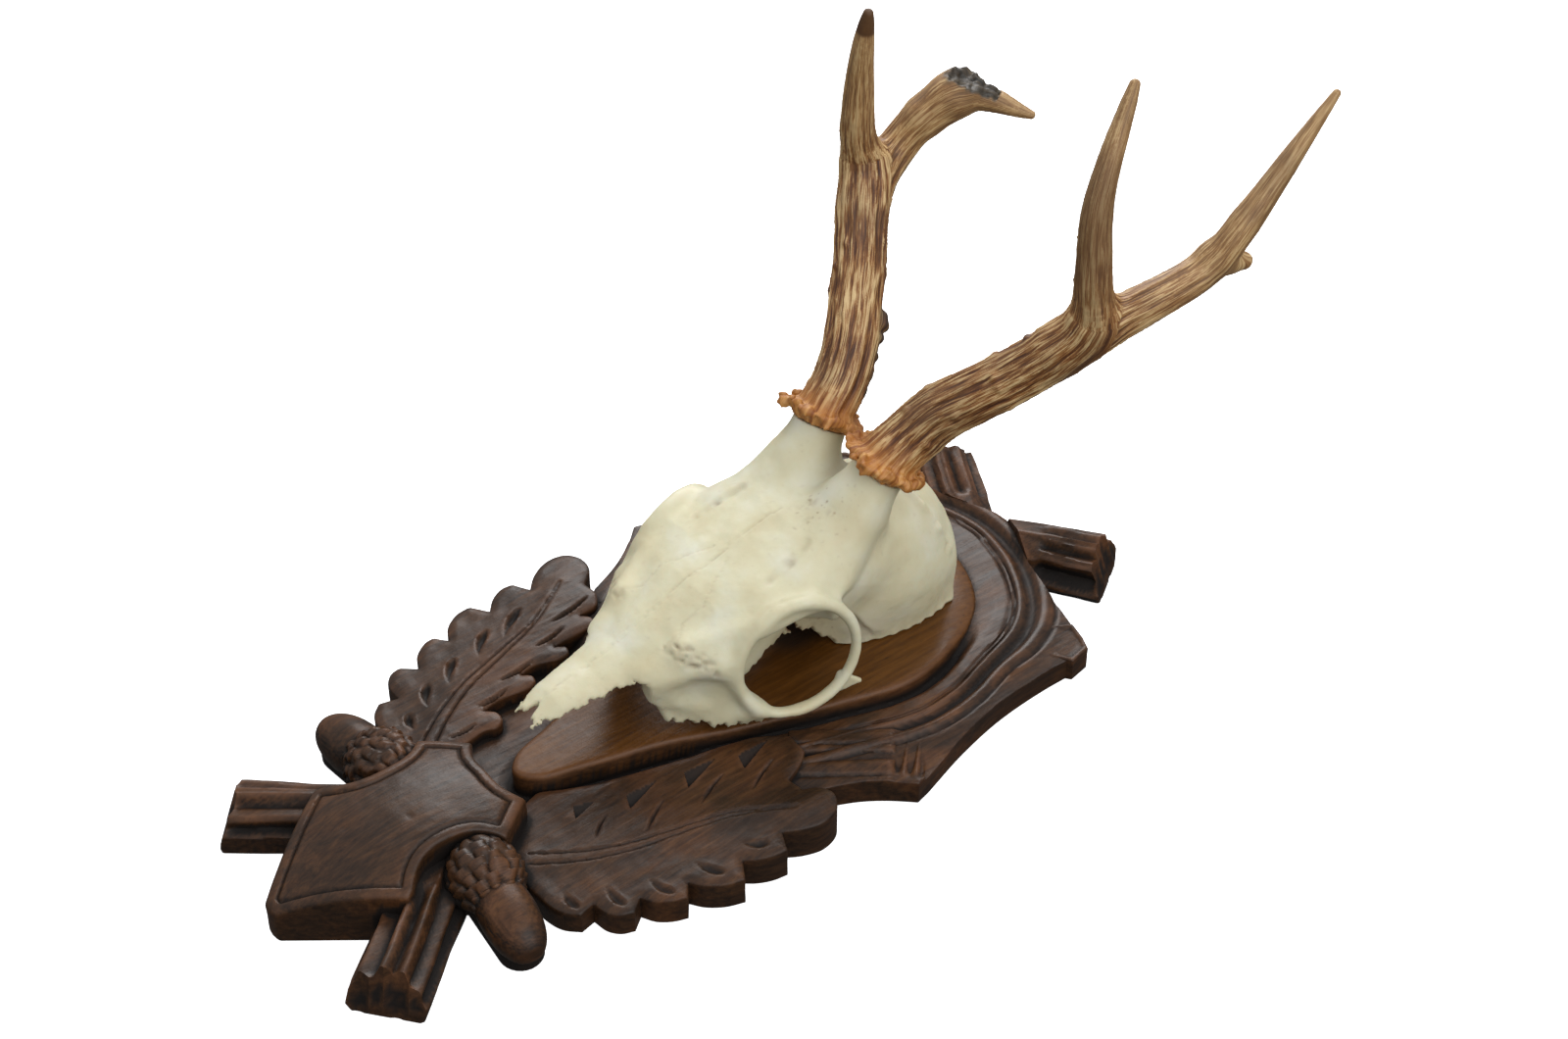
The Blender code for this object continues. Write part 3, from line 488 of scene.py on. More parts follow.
def surface(field, low, high, cell, block=8):
    """The closed surface where a field of points is zero: points and four-cornered faces."""
    low = np.asarray(low, dtype=float)
    span = np.asarray(high, dtype=float) - low
    blocks = np.ceil(span / (cell * block)).astype(int)
    size = blocks * block + 2
    grid = np.stack(np.meshgrid(*[np.arange(n) for n in blocks], indexing="ij"), axis=-1).reshape(-1, 3)
    centre = low + (grid + 0.5) * block * cell
    reach = block * cell * 0.87 * 1.45 + 1.2
    near = grid[np.abs(field(centre.astype(np.float32))) < reach]
    ticks = np.arange(block + 1)
    local = np.stack(np.meshgrid(ticks, ticks, ticks, indexing="ij"), axis=-1)
    corners = [(i, j, k) for i in (0, 1) for j in (0, 1) for k in (0, 1)]
    cell_ids, cell_points, quads = [], [], []
    b = block

    def number(whole):
        return (whole[:, 0] * size[1] + whole[:, 1]) * size[2] + whole[:, 2]

    for start in range(0, len(near), 96):
        origin = near[start : start + 96] * block
        index = origin[:, None, None, None, :] + local
        value = field((low + index * cell).astype(np.float32)).astype(np.float32)
        sign = value < 0.0
        total = sum(sign[:, i : i + b, j : j + b, k : k + b].astype(np.int8) for i, j, k in corners)
        active = (total > 0) & (total < 8)
        which = np.nonzero(active)
        if len(which[0]):
            v = [value[which[0], which[1] + i, which[2] + j, which[3] + k] for i, j, k in corners]
            point = np.zeros((len(which[0]), 3))
            hits = np.zeros(len(which[0]))
            for m, first in enumerate(corners):
                for n, second in enumerate(corners):
                    if n > m and sum(abs(s - t) for s, t in zip(first, second)) == 1:
                        cross = (v[m] < 0) != (v[n] < 0)
                        t = np.where(cross, v[m] / np.where(cross, v[m] - v[n], 1.0), 0.0)
                        spot = np.array(first) + t[:, None] * (np.array(second) - np.array(first))
                        point += spot * cross[:, None]
                        hits += cross
            whole = origin[which[0]] + np.stack(which[1:], axis=1)
            cell_ids.append(number(whole))
            cell_points.append(low + (whole + point / hits[:, None]) * cell)
        for axis in range(3):
            step, u, w = (np.roll((1, 0, 0), axis + k) for k in range(3))
            one = sign[:, :b, :b, :b]
            two = sign[:, step[0] : b + step[0], step[1] : b + step[1], step[2] : b + step[2]]
            which = np.nonzero(one != two)
            if not len(which[0]):
                continue
            whole = origin[which[0]] + np.stack(which[1:], axis=1)
            ring = [whole - u - w, whole - w, whole, whole - u]
            ids = np.stack([number(r) for r in ring], axis=1)
            flip = ~one[which]
            ids[flip] = ids[flip][:, ::-1]
            quads.append(ids)
    ids = np.concatenate(cell_ids)
    points = np.vstack(cell_points)
    order = np.argsort(ids)
    ids = ids[order]
    points = points[order]
    quads = np.vstack(quads)
    found = np.clip(np.searchsorted(ids, quads), 0, len(ids) - 1)
    whole = (ids[found] == quads).all(axis=1)
    return points, found[whole]


def settle_on(field, points, rounds=2, step=0.05):
    """Moves the points onto the field's zero surface."""
    p = points.astype(np.float32)
    for _ in range(rounds):
        value = field(p)
        ahead = [field(p + np.float32(step) * axis) for axis in np.eye(3, dtype=np.float32)]
        slope = np.stack([(there - value) / step for there in ahead], axis=1)
        slope_size = np.einsum("ij,ij->i", slope, slope) + 1e-3
        move = (value / slope_size)[:, None] * slope
        size = np.linalg.norm(move, axis=1)[:, None]
        p = p - move * np.minimum(1.0, 0.5 / (size + 1e-9))
    return p.astype(float)


# The carved board

PAD_HALF = [(0.0, -126.0), (7.7, -120.0), (12.0, -106.0), (15.7, -94.0), (21.1, -75.0), (30.2, -53.0),
            (43.3, -14.0), (50.3, 14.0), (44.3, 40.0), (29.2, 63.5), (0.0, 74.0)]


def pad_outline(step=1.0):
    half = spline([(-7.7, -120.0), *PAD_HALF, (-29.2, 63.5)], step)
    first = np.argmin(np.linalg.norm(half - np.array(PAD_HALF[0]), axis=1))
    last = np.argmin(np.linalg.norm(half - np.array(PAD_HALF[-1]), axis=1))
    return both_sides(half[first : last + 1])


PAD = pad_outline()
EAR_LOW = (87.0, -13.0)
EAR_HIGH = (72.5, 81.0)


FRAME = mirrored_outline([
    [(0.0, -152.0), (34.0, -152.0)],
    [(34.0, -152.0), (50.0, -125.0)],
    [(50.0, -125.0), (62.0, -85.0)],
    [(62.0, -85.0), (66.0, -44.0)],
    bow((66.0, -44.0), EAR_LOW, -2.5),
    [EAR_LOW, (85.5, -7.0)],
    bow((85.5, -7.0), EAR_HIGH, -5.0),
    [EAR_HIGH, (67.5, 83.0)],
    bow((67.5, 83.0), (0.0, 104.0), -3.0),
], 1.0)

# Height of the mouldings at distances outwards from the pad
MOULDING = [
    (0.0, 9.6), (0.8, 8.6), (2.0, 8.4), (3.1, 10.6), (4.2, 12.1), (5.2, 12.5), (9.2, 12.4), (9.55, 11.7),
    (9.95, 12.4), (10.6, 12.5), (10.95, 11.7), (11.4, 12.9), (12.4, 13.2), (13.2, 12.8), (14.0, 11.2), (15.2, 10.3),
    (16.4, 10.6), (17.2, 12.0), (18.2, 13.0), (19.6, 13.2), (20.9, 12.5), (21.7, 11.2), (22.2, 10.8), (22.8, 11.3),
    (26.0, 10.4), (33.0, 9.0), (60.0, 8.4),
]
FOOT = -6.0  # how far behind the flat back the ground starts, before it is cut off there
GROUND = [(0.0, 6.0), (0.8, 5.0), (3.0, 4.4), (6.0, 5.4), (12.0, 6.0), (60.0, 6.0)]


def build_ground():
    """The board under everything, with the mouldings that follow the pad's head."""
    fine = pad_outline(1.1 * FINE)
    out = -inward_ways(fine)
    kernel = np.hanning(15)
    kernel /= kernel.sum()
    for k in range(2):
        wide = np.concatenate([out[-20:, k], out[:, k], out[:20, k]])
        out[:, k] = np.convolve(wide, kernel, "same")[20:-20]
    out = units(out)
    table = np.array(MOULDING)
    plain = np.array(GROUND)
    marks = [-6.0, -2.0]
    for a, b in zip(table[:-1, 0], table[1:, 0]):
        steps = max(1, int(math.ceil((b - a) / (0.9 if b < 30 else 6.0))))
        marks += [mix(a, b, k / steps) for k in range(steps)]
    marks.append(52.0)
    stretch = 1.0 + 0.36 * smooth_step(35.0, 62.0, fine[:, 1])
    rows = []
    for mark in marks:
        xy = fine + out * (mark * np.where(mark > 0, stretch, 1.0))[:, None]
        wave = 0.35 * noise(xy, 26.0, 3) + 0.15 * noise(xy, 9.0, 4)
        where = mark + (wave if 1.0 < mark < 30.0 else 0.0)
        high = np.interp(where, table[:, 0], table[:, 1])
        low = np.interp(np.full(len(fine), mark), plain[:, 0], plain[:, 1])
        fade = smooth_step(34.0, 58.0, xy[:, 1]) * (mark < 5.2)
        high = mix(high, 12.4, fade)
        h = mix(low, high, smooth_step(-74.0, -58.0, xy[:, 1]))
        h = h + 0.18 * noise(xy, 7.0, 8) + 0.10 * noise(xy, (1.6, 9.0), 9)
        rows.append(np.column_stack([xy, h]))
    count = len(fine)
    points = np.vstack(rows)
    grid = np.arange(len(points)).reshape(len(rows), count)
    # a foot under the outer and inner rims closes it
    feet = [np.column_stack([row[:, :2], np.full(count, FOOT)]) for row in (rows[-1], rows[0])]
    under = len(points) + np.arange(2 * count).reshape(2, count)
    grid = np.vstack([grid, under, grid[:1]])
    ground = outward(mesh_object("ground", np.vstack([points, *feet]), between(grid)))
    fence = carve("fence", FRAME, lambda p: np.full(len(p), 40.0), 9.0, 0.5, wobble=0.22, levels=14)
    boolean(ground, "INTERSECT").object = fence
    settle(ground)
    bpy.data.objects.remove(fence, do_unlink=True)
    return ground


def build_pad():
    def height(p):
        edge = to_edge(p, PAD)
        slope = smooth_step(30.0, 56.0, p[:, 1]) * 2.9 * np.clip(1.0 - edge / 13.0, 0.0, 1.0) ** 2
        return PAD_TOP - slope + 0.10 * noise(p, 22.0, 11) + 0.03 * noise(p, (2.2, 14.0), 12)

    return carve("pad", PAD, height, 1.6, 2.0, wobble=0.03)


# Leaf edges, for the right-hand side, from the stalk outwards and round to the tip
OUTER_LOBES = {
    1: [
        [(43.0, -148.6), (52.0, -147.9), (58.4, -145.8), (63.2, -141.2)],
        [(63.2, -141.2), (62.0, -135.4)],
        [(62.0, -135.4), (67.9, -134.3), (71.9, -131.2), (73.8, -126.6)],
        [(73.8, -126.6), (70.0, -121.6)],
        [(70.0, -121.6), (74.9, -118.6), (78.3, -114.0), (80.2, -109.0)],
        [(80.2, -109.0), (75.2, -105.2)],
        [(75.2, -105.2), (80.0, -101.6), (84.0, -96.0), (86.4, -89.4)],
        [(86.4, -89.4), (79.2, -85.0)],
        [(79.2, -85.0), (82.2, -81.0), (84.4, -76.0), (85.4, -70.4)],
        [(85.4, -70.4), (78.2, -67.2)],
    ],
    -1: [
        [(43.0, -150.0), (54.0, -149.4), (60.8, -147.0), (64.8, -142.8)],
        [(64.8, -142.8), (62.7, -135.8)],
        [(62.7, -135.8), (69.8, -135.4), (74.4, -132.0), (75.6, -127.4)],
        [(75.6, -127.4), (70.6, -121.8)],
        [(70.6, -121.8), (76.4, -119.0), (80.2, -113.6), (80.6, -109.2)],
        [(80.6, -109.2), (75.6, -105.4)],
        [(75.6, -105.4), (81.6, -102.2), (85.6, -96.0), (85.8, -90.0)],
        [(85.8, -90.0), (79.0, -85.2)],
        [(79.0, -85.2), (83.4, -81.0), (86.0, -75.6), (85.4, -70.8)],
        [(85.4, -70.8), (78.4, -67.2)],
    ],
}
END_LOBE = {
    1: [(78.2, -67.2), (81.8, -61.0), (83.8, -53.5), (81.6, -46.0), (75.6, -42.0), (70.0, -44.2), (67.0, -49.6)],
    -1: [(78.4, -67.2), (83.6, -62.0), (87.2, -54.5), (86.2, -47.0), (80.5, -42.4), (73.0, -43.4), (67.0, -49.6)],
}
INNER_LOBES = [
    [(67.0, -49.6), (60.5, -49.0), (55.0, -53.0), (54.5, -60.4)],
    [(54.5, -60.4), (51.4, -57.6), (47.6, -58.8), (47.0, -64.0), (47.3, -76.9)],
    [(47.3, -76.9), (44.6, -73.6), (41.0, -75.0), (40.8, -79.4), (43.4, -87.0), (43.0, -94.6)],
    [(43.0, -94.6), (40.4, -91.6), (36.8, -92.6), (35.8, -97.0), (37.4, -107.0), (36.8, -114.9)],
    [(36.8, -114.9), (33.4, -111.8), (28.8, -112.2), (26.8, -116.2), (28.4, -122.5), (24.0, -140.0)],
]
INNER_RIM = [(43.6, -37.0), (37.5, -45.0), (33.0, -56.0), (28.6, -71.5), (23.0, -88.9), (17.2, -105.3), (8.0, -122.0)]
PITS = [
    [(22.1, -116.2), (27.6, -118.9), (25.1, -109.4)],
    [(30.1, -99.1), (36.1, -101.6), (31.3, -86.8)],
    [(34.2, -77.0), (41.2, -80.2), (36.3, -64.8)],
    [(40.1, -57.6), (46.5, -59.5), (40.9, -44.7)],
]
MIDRIB = [(33.0, -142.0), (42.6, -128.6), (50.2, -113.5), (55.4, -96.0), (60.6, -78.5), (66.0, -68.0), (73.0, -57.0)]
GOUGES = {
    1: [
        ((51.4, -140.5), (60.8, -139.9)),
        ((58.9, -127.9), (69.8, -127.3)),
        ((65.7, -114.9), (76.2, -111.2)),
        ((69.4, -98.6), (79.9, -92.8)),
        ((72.8, -81.0), (79.3, -73.5)),
    ],
    -1: [
        ((43.9, -139.8), (52.4, -137.1)),
        ((50.4, -130.4), (60.6, -123.7)),
        ((55.1, -118.2), (65.5, -109.1)),
        ((59.8, -102.5), (70.2, -91.8)),
        ((61.9, -89.8), (71.5, -76.1)),
    ],
}
VEINS = {
    1: [
        ((39.9, -118.8), (32.6, -108.8)),
        ((49.2, -103.8), (40.2, -89.9)),
        ((50.8, -82.0), (43.4, -65.8)),
        ((56.8, -63.8), (49.5, -48.6)),
    ],
    -1: [
        ((32.2, -132.7), (32.6, -121.2)),
        ((39.1, -116.6), (40.0, -102.1)),
        ((44.9, -103.5), (45.6, -87.6)),
        ((50.8, -83.2), (52.9, -68.7)),
        ((57.4, -71.8), (60.6, -52.3)),
    ],
}


def leaf_height(y):
    return mix(10.6, 15.4, np.clip((y + 141.0) / 95.0, 0.0, 1.0))


def build_leaf(side):
    """The leaf on one side. The left one's inner lobes stand free, the right one's run into the pad's rim."""
    runs = [*OUTER_LOBES[side], END_LOBE[side]]
    if side < 0:
        runs += INNER_LOBES + [[(24.0, -140.0), (30.0, -151.0)], [(30.0, -151.0), OUTER_LOBES[side][0][0]]]
    else:
        runs += [
            [(67.0, -49.6), (60.5, -50.5)],
            [(60.5, -50.5), (56.6, -42.0), (52.8, -37.4)],
            [(52.8, -37.4), (43.6, -37.0)],
            INNER_RIM,
            [(8.0, -122.0), (14.0, -146.0)],
            [(14.0, -146.0), OUTER_LOBES[side][0][0]],
        ]
    outline = path(*runs, step=0.9 * FINE)
    rib = spline(MIDRIB, 0.8 * FINE)
    way = units(np.gradient(rib, axis=0))
    across = np.stack([way[:, 1], -way[:, 0]], axis=1)
    width = np.linspace(2.4, 0.3, len(rib))[:, None]
    ribs = [rib + across * width, rib - across * width]
    bent = []
    for kind, cuts, sag in (("gouge", GOUGES[side], 1.0), ("vein", VEINS[side], -0.7)):
        for a, b in cuts:
            bent.append((kind, spline(bow(a, b, sag), 0.7 * FINE)))
    pits = PITS if side > 0 else []
    lines = ribs + [route for _, route in bent]
    for a, b, c in pits:
        for u, v in ((a, b), (b, c)):
            lines.append(straight(u, v, 0.5) + (0.1, -0.1))
            lines.append(straight(u, v, 0.5) - (0.1, -0.1))
    sizes = {"gouge": (3.6, 2.0) if side < 0 else (3.2, 1.3), "vein": (1.8, 1.3) if side < 0 else (1.5, 0.9)}

    def height(p):
        d_rib = to_lines(p, rib)[0]
        edge = to_edge(p, outline)
        h = leaf_height(p[:, 1])
        h = h + 0.9 * np.exp(-((d_rib / 5.0) ** 2)) - 0.7 * smooth_step(4.0, 22.0, d_rib)
        h = h - 0.8 * np.clip(1.0 - edge / 3.2, 0.0, 1.0) ** 1.5
        for strip in ribs:
            d, t = to_lines(p, strip)
            h = h - 1.0 * np.clip(1.0 - d / 0.62, 0.0, 1.0) * (1.0 - 0.6 * t)
        for kind, route in bent:
            w, depth = sizes[kind]
            d, t = to_lines(p, route)
            swell = np.sin(math.pi * np.clip(t, 0.0, 1.0) ** (1.7 if kind == "gouge" else 1.0)) ** 0.8
            h = h - depth * swell * np.clip(1.0 - (d / (w * 0.5 * swell + 1e-3)) ** 2, 0.0, 1.0)
            h = h + 0.16 * np.exp(-(((d - w * 0.62) / 0.5) ** 2)) * swell
        for a, b, c in pits:
            a, b, c = (np.array(v) for v in (a, b, c))
            side_way = unit(c - a)
            across_way = np.array([side_way[1], -side_way[0]])
            share = ((p - a) @ across_way) / ((b - a) @ across_way)
            h = h - 3.6 * np.clip(share, 0.0, 1.0) * inside(p, np.array([a, b, c]))
        h = h + 0.15 * noise(p, 5.0, 21) + 0.08 * noise(p, (1.3, 5.0), 22)
        return h

    return carve_side("leaf", side, outline, height, 0.85, 0.7, lines)


SHIELD = mirrored_outline([
    [(0.0, -224.6), (3.4, -224.0), (5.0, -222.2)],
    [(5.0, -222.2), (31.0, -188.0)],
    [(31.0, -188.0), (29.5, -185.0)],
    bow((29.5, -185.0), (20.5, -165.0), -3.0),
    bow((20.5, -165.0), (29.0, -147.5), -2.5),
    [(29.0, -147.5), (17.0, -132.0)],
    bow((17.0, -132.0), (0.0, -137.0), -2.0),
], 0.9)
CREST = (-168.0, 29.0)
DOME = (73.0, 82.0, 60.0)


def build_shield():
    def height(p):
        share = 1.0 - (p[:, 0] / DOME[0]) ** 2 - ((p[:, 1] - CREST[0]) / DOME[1]) ** 2
        h = CREST[1] - DOME[2] + DOME[2] * np.sqrt(np.clip(share, 0.1, 1.0))
        edge = to_edge(p, SHIELD)
        h = h - 1.1 * np.exp(-(((edge - 4.2) / 0.62) ** 2)) - 0.55 * smooth_step(3.4, 5.0, edge)
        h = h + 0.18 * noise(p, 14.0, 31) + 0.10 * noise(p, 5.0, 32) + 0.04 * noise(p, (1.0, 4.0), 33)
        for x, y, r in ((-5.0, -190.5, 1.5), (5.5, -171.0, 1.1)):
            h = h - 0.35 * np.exp(-(((p - (x, y)) ** 2).sum(axis=1)) / r**2)
        return h

    lines = []
    for inset in (3.2, 3.7, 4.2, 4.7, 5.3):
        moved = SHIELD + inward_ways(SHIELD) * inset
        lines.append(moved[to_edge(moved, SHIELD) > inset * 0.97])
    return carve("shield", SHIELD, height, 0.95, 1.3, lines, wobble=0.25, levels=10)


# Height of the arm at distances across its flutes
ARM_PROFILE = [(0.0, 12.6), (3.2, 13.2), (6.4, 12.9), (7.2, 12.0), (8.0, 12.6), (10.2, 12.2), (11.4, 9.6),
               (12.8, 9.2), (14.2, 11.6), (16.4, 12.4), (20.2, 11.6), (21.2, 10.3), (22.0, 10.9), (30.0, 9.4)]


def build_arm(side):
    """The fluted piece of frame from behind the leaf to the lower ear."""
    corners = [(40.0, -35.0), (62.0, -52.0), (67.0, -45.5), EAR_LOW, (86.0, -9.5), (69.8, 5.6)]
    start = np.array(corners[0])
    way = np.array([0.59, 0.807])
    across = np.array([0.807, -0.59])
    runs = [[a, b] for a, b in zip(corners, corners[1:] + corners[:1])]
    runs[2] = bow(corners[2], EAR_LOW, -2.5)
    outline = path(*runs, step=0.9 * FINE)
    table = np.array(ARM_PROFILE)

    def height(p):
        rel = p - start
        u = rel @ way
        v = rel @ across + 0.5 * noise(p, 16.0, 41)
        h = np.interp(v, table[:, 0], table[:, 1])
        end = smooth_step(37.0, 40.5, u + 0.12 * v)
        h = mix(h, 11.6 - 0.07 * v, end)
        for k in range(3):
            place = 41.2 + 4.4 * k - 0.16 * v
            keep = smooth_step(0.5 + k, 5.0 + k, v) * (1.0 - smooth_step(14.0 + 2.0 * k, 22.0 + k, v))
            h = h - 1.0 * keep * (1.0 + np.cos(math.pi * np.clip(np.abs(u - place) / 2.1, 0.0, 1.0)))
        grain = noise(p @ np.stack([way, across], axis=1), (9.0, 1.1), 43)
        return h + 0.14 * noise(p, 6.0, 42) + 0.08 * grain

    return carve_side("arm", side, outline, height, 0.8, 0.6, wobble=0.2, levels=8)


def build_panel(side):
    """The little sunk facet on the upper ear."""
    corners = [(54.0, 73.0), (66.0, 66.0), (74.2, 72.0), EAR_HIGH, (67.5, 83.0), (60.0, 84.4)]
    outline = path(*[[a, b] for a, b in zip(corners, corners[1:] + corners[:1])], step=0.8 * FINE)

    def height(p):
        edge = to_edge(p, outline)
        return 11.6 - 0.09 * (p[:, 0] - 54.0) - 0.9 * smooth_step(1.3, 2.2, edge) + 0.12 * noise(p, 4.0, 46)

    return carve_side("panel", side, outline, height, 0.8, 0.6, wobble=0.15)


BRANCH_SIDES = 8
# The gouge cuts across a branch's sawn end: where they lie, their slant down the face, their size and length
GOUGE_PLACES = (-10.5, -3.6, 3.4, 10.0)
GOUGE_SLANT = (0.305, 0.952)
GOUGE_RADIUS = 6.6
GOUGE_LENGTH = 26.0


def build_branch(name, root, end, high, radius, seed, flutes, turn, dip=None):
    """A sawn branch end: faceted bark with long flutes and a slanting face cut with a gouge.

    A branch with a dip comes out from behind the frame, and starts that much lower than it ends.
    """
    a = np.array([*root, high - (dip or 0.0)])
    b = np.array([*end, high])
    length = np.linalg.norm(b - a)
    way = (b - a) / length
    route = straight(a, b, 0.8 * FINE)
    last = len(route) - 1
    ring = int(120 / FINE)
    facet = math.tau / BRANCH_SIDES

    def section(i, angles):
        t = i / last
        q = around(angles, 9.0, t * length * 0.16)
        local = (angles + turn) % facet - facet / 2
        r = radius * mix(0.92, 1.0, t) * math.cos(facet / 2) / np.cos(local)
        r = r + 0.45 * noise(q, 3.2, seed + 2) - 0.5 * np.clip(noise(q, 1.5, seed + 4) - 0.25, 0.0, 1.0)
        for place, half, depth, start in flutes:
            weave = 0.06 * math.sin(t * 5.0 + seed) - math.radians(place)
            gap = np.abs((angles + weave + math.pi) % math.tau - math.pi)
            reach = smooth_step(start, start + 0.1, t) * (smooth_step(0.0, 0.10, 1.0 - t) * 0.7 + 0.3)
            r = r - depth * reach * np.clip(1.0 - gap / half, 0.0, 1.0) ** 0.8
            r = r + 0.5 * reach * np.exp(-(((gap - half * 1.25) / 0.05) ** 2))
        from_end = (1.0 - t) * length
        lip = np.clip(1.0 - from_end / 1.5, 0.0, 1.0)
        return r - 1.3 * (1.0 - np.sqrt(np.clip(1.0 - lip**2, 0.0, 1.0)))

    branch = bar(name, route, section, ring)
    across = np.cross(way, (0.0, 0.0, 1.0))
    slant = way * GOUGE_SLANT[0] - np.array([0.0, 0.0, GOUGE_SLANT[1]])
    cuts = []
    for k, shift in enumerate(GOUGE_PLACES):
        start = b + across * shift + np.array([0.0, 0.0, radius + 4.5]) - way * (0.1 + 0.5 * (k % 2))
        spots = start + np.outer(np.linspace(0.0, 1.0, 12), slant) * (GOUGE_LENGTH + 2.0 * (k % 3))
        size = GOUGE_RADIUS + 0.5 * (k % 2)
        cuts.append(bar(name + f"_gouge{k}", spots, lambda i, angle, size=size: np.full(len(angle), size), 26))
    cuts.append(behind_wall(name + "_under"))
    if dip is not None:
        cuts.append(carve(name + "_fence", FRAME, lambda p: np.full(len(p), 45.0), 9.0, 0.3, wobble=0.0, base=9.0))
    return combined(name, [branch], cuts)


def behind_wall(name):
    """A block that takes up everything behind the plaque's flat back."""
    ends = np.array([(-200.0, -300.0, -60.0), (200.0, 200.0, 0.0)])
    corners = np.array([[ends[(k >> axis) & 1][axis] for axis in range(3)] for k in range(8)])
    faces = np.array([[0, 2, 3, 1], [4, 5, 7, 6], [0, 1, 5, 4], [2, 6, 7, 3], [0, 4, 6, 2], [1, 3, 7, 5]])
    return outward(mesh_object(name, corners, faces))


ACORN_ROOT = (20.0, -158.0, 16.0)
ACORN_END = {1: (68.5, -163.5, 8.0), -1: (68.5, -163.5, 6.5)}
ACORN_SEED = {1: 60, -1: 70}
NUT_RADIUS = 10.2
NUT_INSET = 12.0
CUP_RADIUS = 13.6
CUP_LENGTH = 31.0
CUP_START = -2.0
CUP_ROWS = 4.4
SCALES_ROUND = 12
THINNEST = 0.05


def build_acorn(side):
    """A smooth nut and its scaly cup, lying out from behind the shield."""
    word = SIDES[side]
    root = np.array(ACORN_ROOT) * (side, 1.0, 1.0)
    end = np.array(ACORN_END[side]) * (side, 1.0, 1.0)
    way = unit(end - root)
    length = np.linalg.norm(end - root)
    seed = ACORN_SEED[side]

    def nut_section(i, angles):
        t = steps[i]
        r = NUT_RADIUS * math.sin(math.pi * min(1.0, max(0.0, t))) ** 0.36
        q = around(angles, 8.0, t * 20.0)
        return np.maximum(THINNEST, r * (1.0 + 0.04 * noise(q, 9.0, seed)) + 0.14 * noise(q, 5.0, seed + 5))

    steps = eased(70)
    route = root + way * NUT_INSET + np.outer(steps, way) * (length - NUT_INSET)
    nut = bar("nut_" + word, route, nut_section, 80)
    cup_steps = eased(100)

    def cup_section(i, angles):
        t = cup_steps[i]
        r = CUP_RADIUS * math.sin(math.pi * t) ** 0.45
        q = around(angles, 12.0, t * CUP_LENGTH)
        turn = angles / math.tau * SCALES_ROUND + 0.35 * noise(q, 7.0, seed + 8)
        row = t * CUP_ROWS + 0.18 * noise(q, 6.0, seed + 9)
        scale = 0.0
        for shift in (0.0, 0.5):
            along = (row + shift) % 1.0
            across = (turn + 0.5 * np.floor(row + shift) + shift) % 1.0 - 0.5
            hump = np.clip(1.0 - (across / 0.5) ** 2, 0.0, 1.0) ** 0.5
            cut_end = smooth_step(0.0, 0.16, along) * (1.0 - 0.75 * along)
            scale = np.maximum(scale, hump * cut_end)
        body = smooth_step(0.02, 0.12, t) * (1.0 - smooth_step(0.93, 0.99, t))
        r = r + (2.5 * scale - 1.7) * body
        return np.maximum(THINNEST, r + 0.35 * noise(q, 2.6, seed + 3) * min(1.0, 6 * t * (1 - t)))

    cup_route = root + way * CUP_START + np.outer(cup_steps, way) * CUP_LENGTH
    cup = bar("cup_" + word, cup_route, cup_section, 170)
    foot = acorn_foot(root, end)
    stem_low = carve("acorn_foot_" + word, foot, lambda p: np.full(len(p), 6.0), 2.2, 1.6, wobble=0.05)
    return combined("acorn_" + word, [nut, cup, stem_low], [behind_wall("acorn_under")])


def acorn_foot(root, end):
    """Outline of the wood left under an acorn."""
    a = root[:2]
    b = end[:2]
    way = unit(b - a)
    across = np.array([-way[1], way[0]])
    turns = np.linspace(math.pi / 2, -math.pi / 2, 15)
    tip = [b - way * 11.0 + way * math.cos(t) * 8.4 + across * math.sin(t) * 8.0 for t in turns]
    left = a + across * 8.0
    right = a - across * 8.0
    ends = [straight(tip[-1], right, 1.5)[1:], straight(right, left, 1.5)[1:-1]]
    return np.vstack([straight(left, tip[0], 1.5)[:-1], tip, *ends])[::-1]


# Flutes in the branches' bark: angle, half width, depth and where along the branch each starts
LOW_RIGHT = [(28, 0.20, 2.0, 0.3), (62, 0.26, 3.4, 0.0), (96, 0.16, 2.2, 0.35), (128, 0.24, 3.0, 0.0),
             (160, 0.16, 1.8, 0.2)]
LOW_LEFT = [(25, 0.18, 2.0, 0.2), (66, 0.24, 3.2, 0.0), (112, 0.28, 3.4, 0.0), (150, 0.18, 2.0, 0.2)]
HIGH_RIGHT = [(22, 0.34, 4.6, 0.4), (66, 0.16, 2.0, 0.4), (104, 0.24, 3.0, 0.4), (146, 0.16, 1.8, 0.4)]
HIGH_LEFT = [(36, 0.18, 2.0, 0.4), (78, 0.24, 3.0, 0.4), (118, 0.18, 2.2, 0.4), (152, 0.22, 2.6, 0.4)]
BRANCHES = (
    ("branch_low_right", (10.0, -160.0), (53.5, -212.5), 4.5, 14.8, 101, LOW_RIGHT, 0.15),
    ("branch_low_left", (-10.0, -160.0), (-53.5, -212.5), 4.0, 14.2, 112, LOW_LEFT, 0.35),
    ("branch_high_right", (4.0, 93.0), (43.4, 118.8), 5.4, 14.6, 123, HIGH_RIGHT, 0.1, 1.5),
    ("branch_high_left", (-4.0, 90.0), (-47.4, 109.2), 5.6, 14.6, 134, HIGH_LEFT, 0.3, 8.0),
)


def build_board():
    shapes = [build_ground(), build_pad(), build_shield()]
    for side in SIDES:
        shapes += [build_leaf(side), build_arm(side), build_panel(side), build_acorn(side)]
    shapes += [build_branch(*row) for row in BRANCHES]
    return combined("plaque_carving", shapes, [behind_wall("behind")])


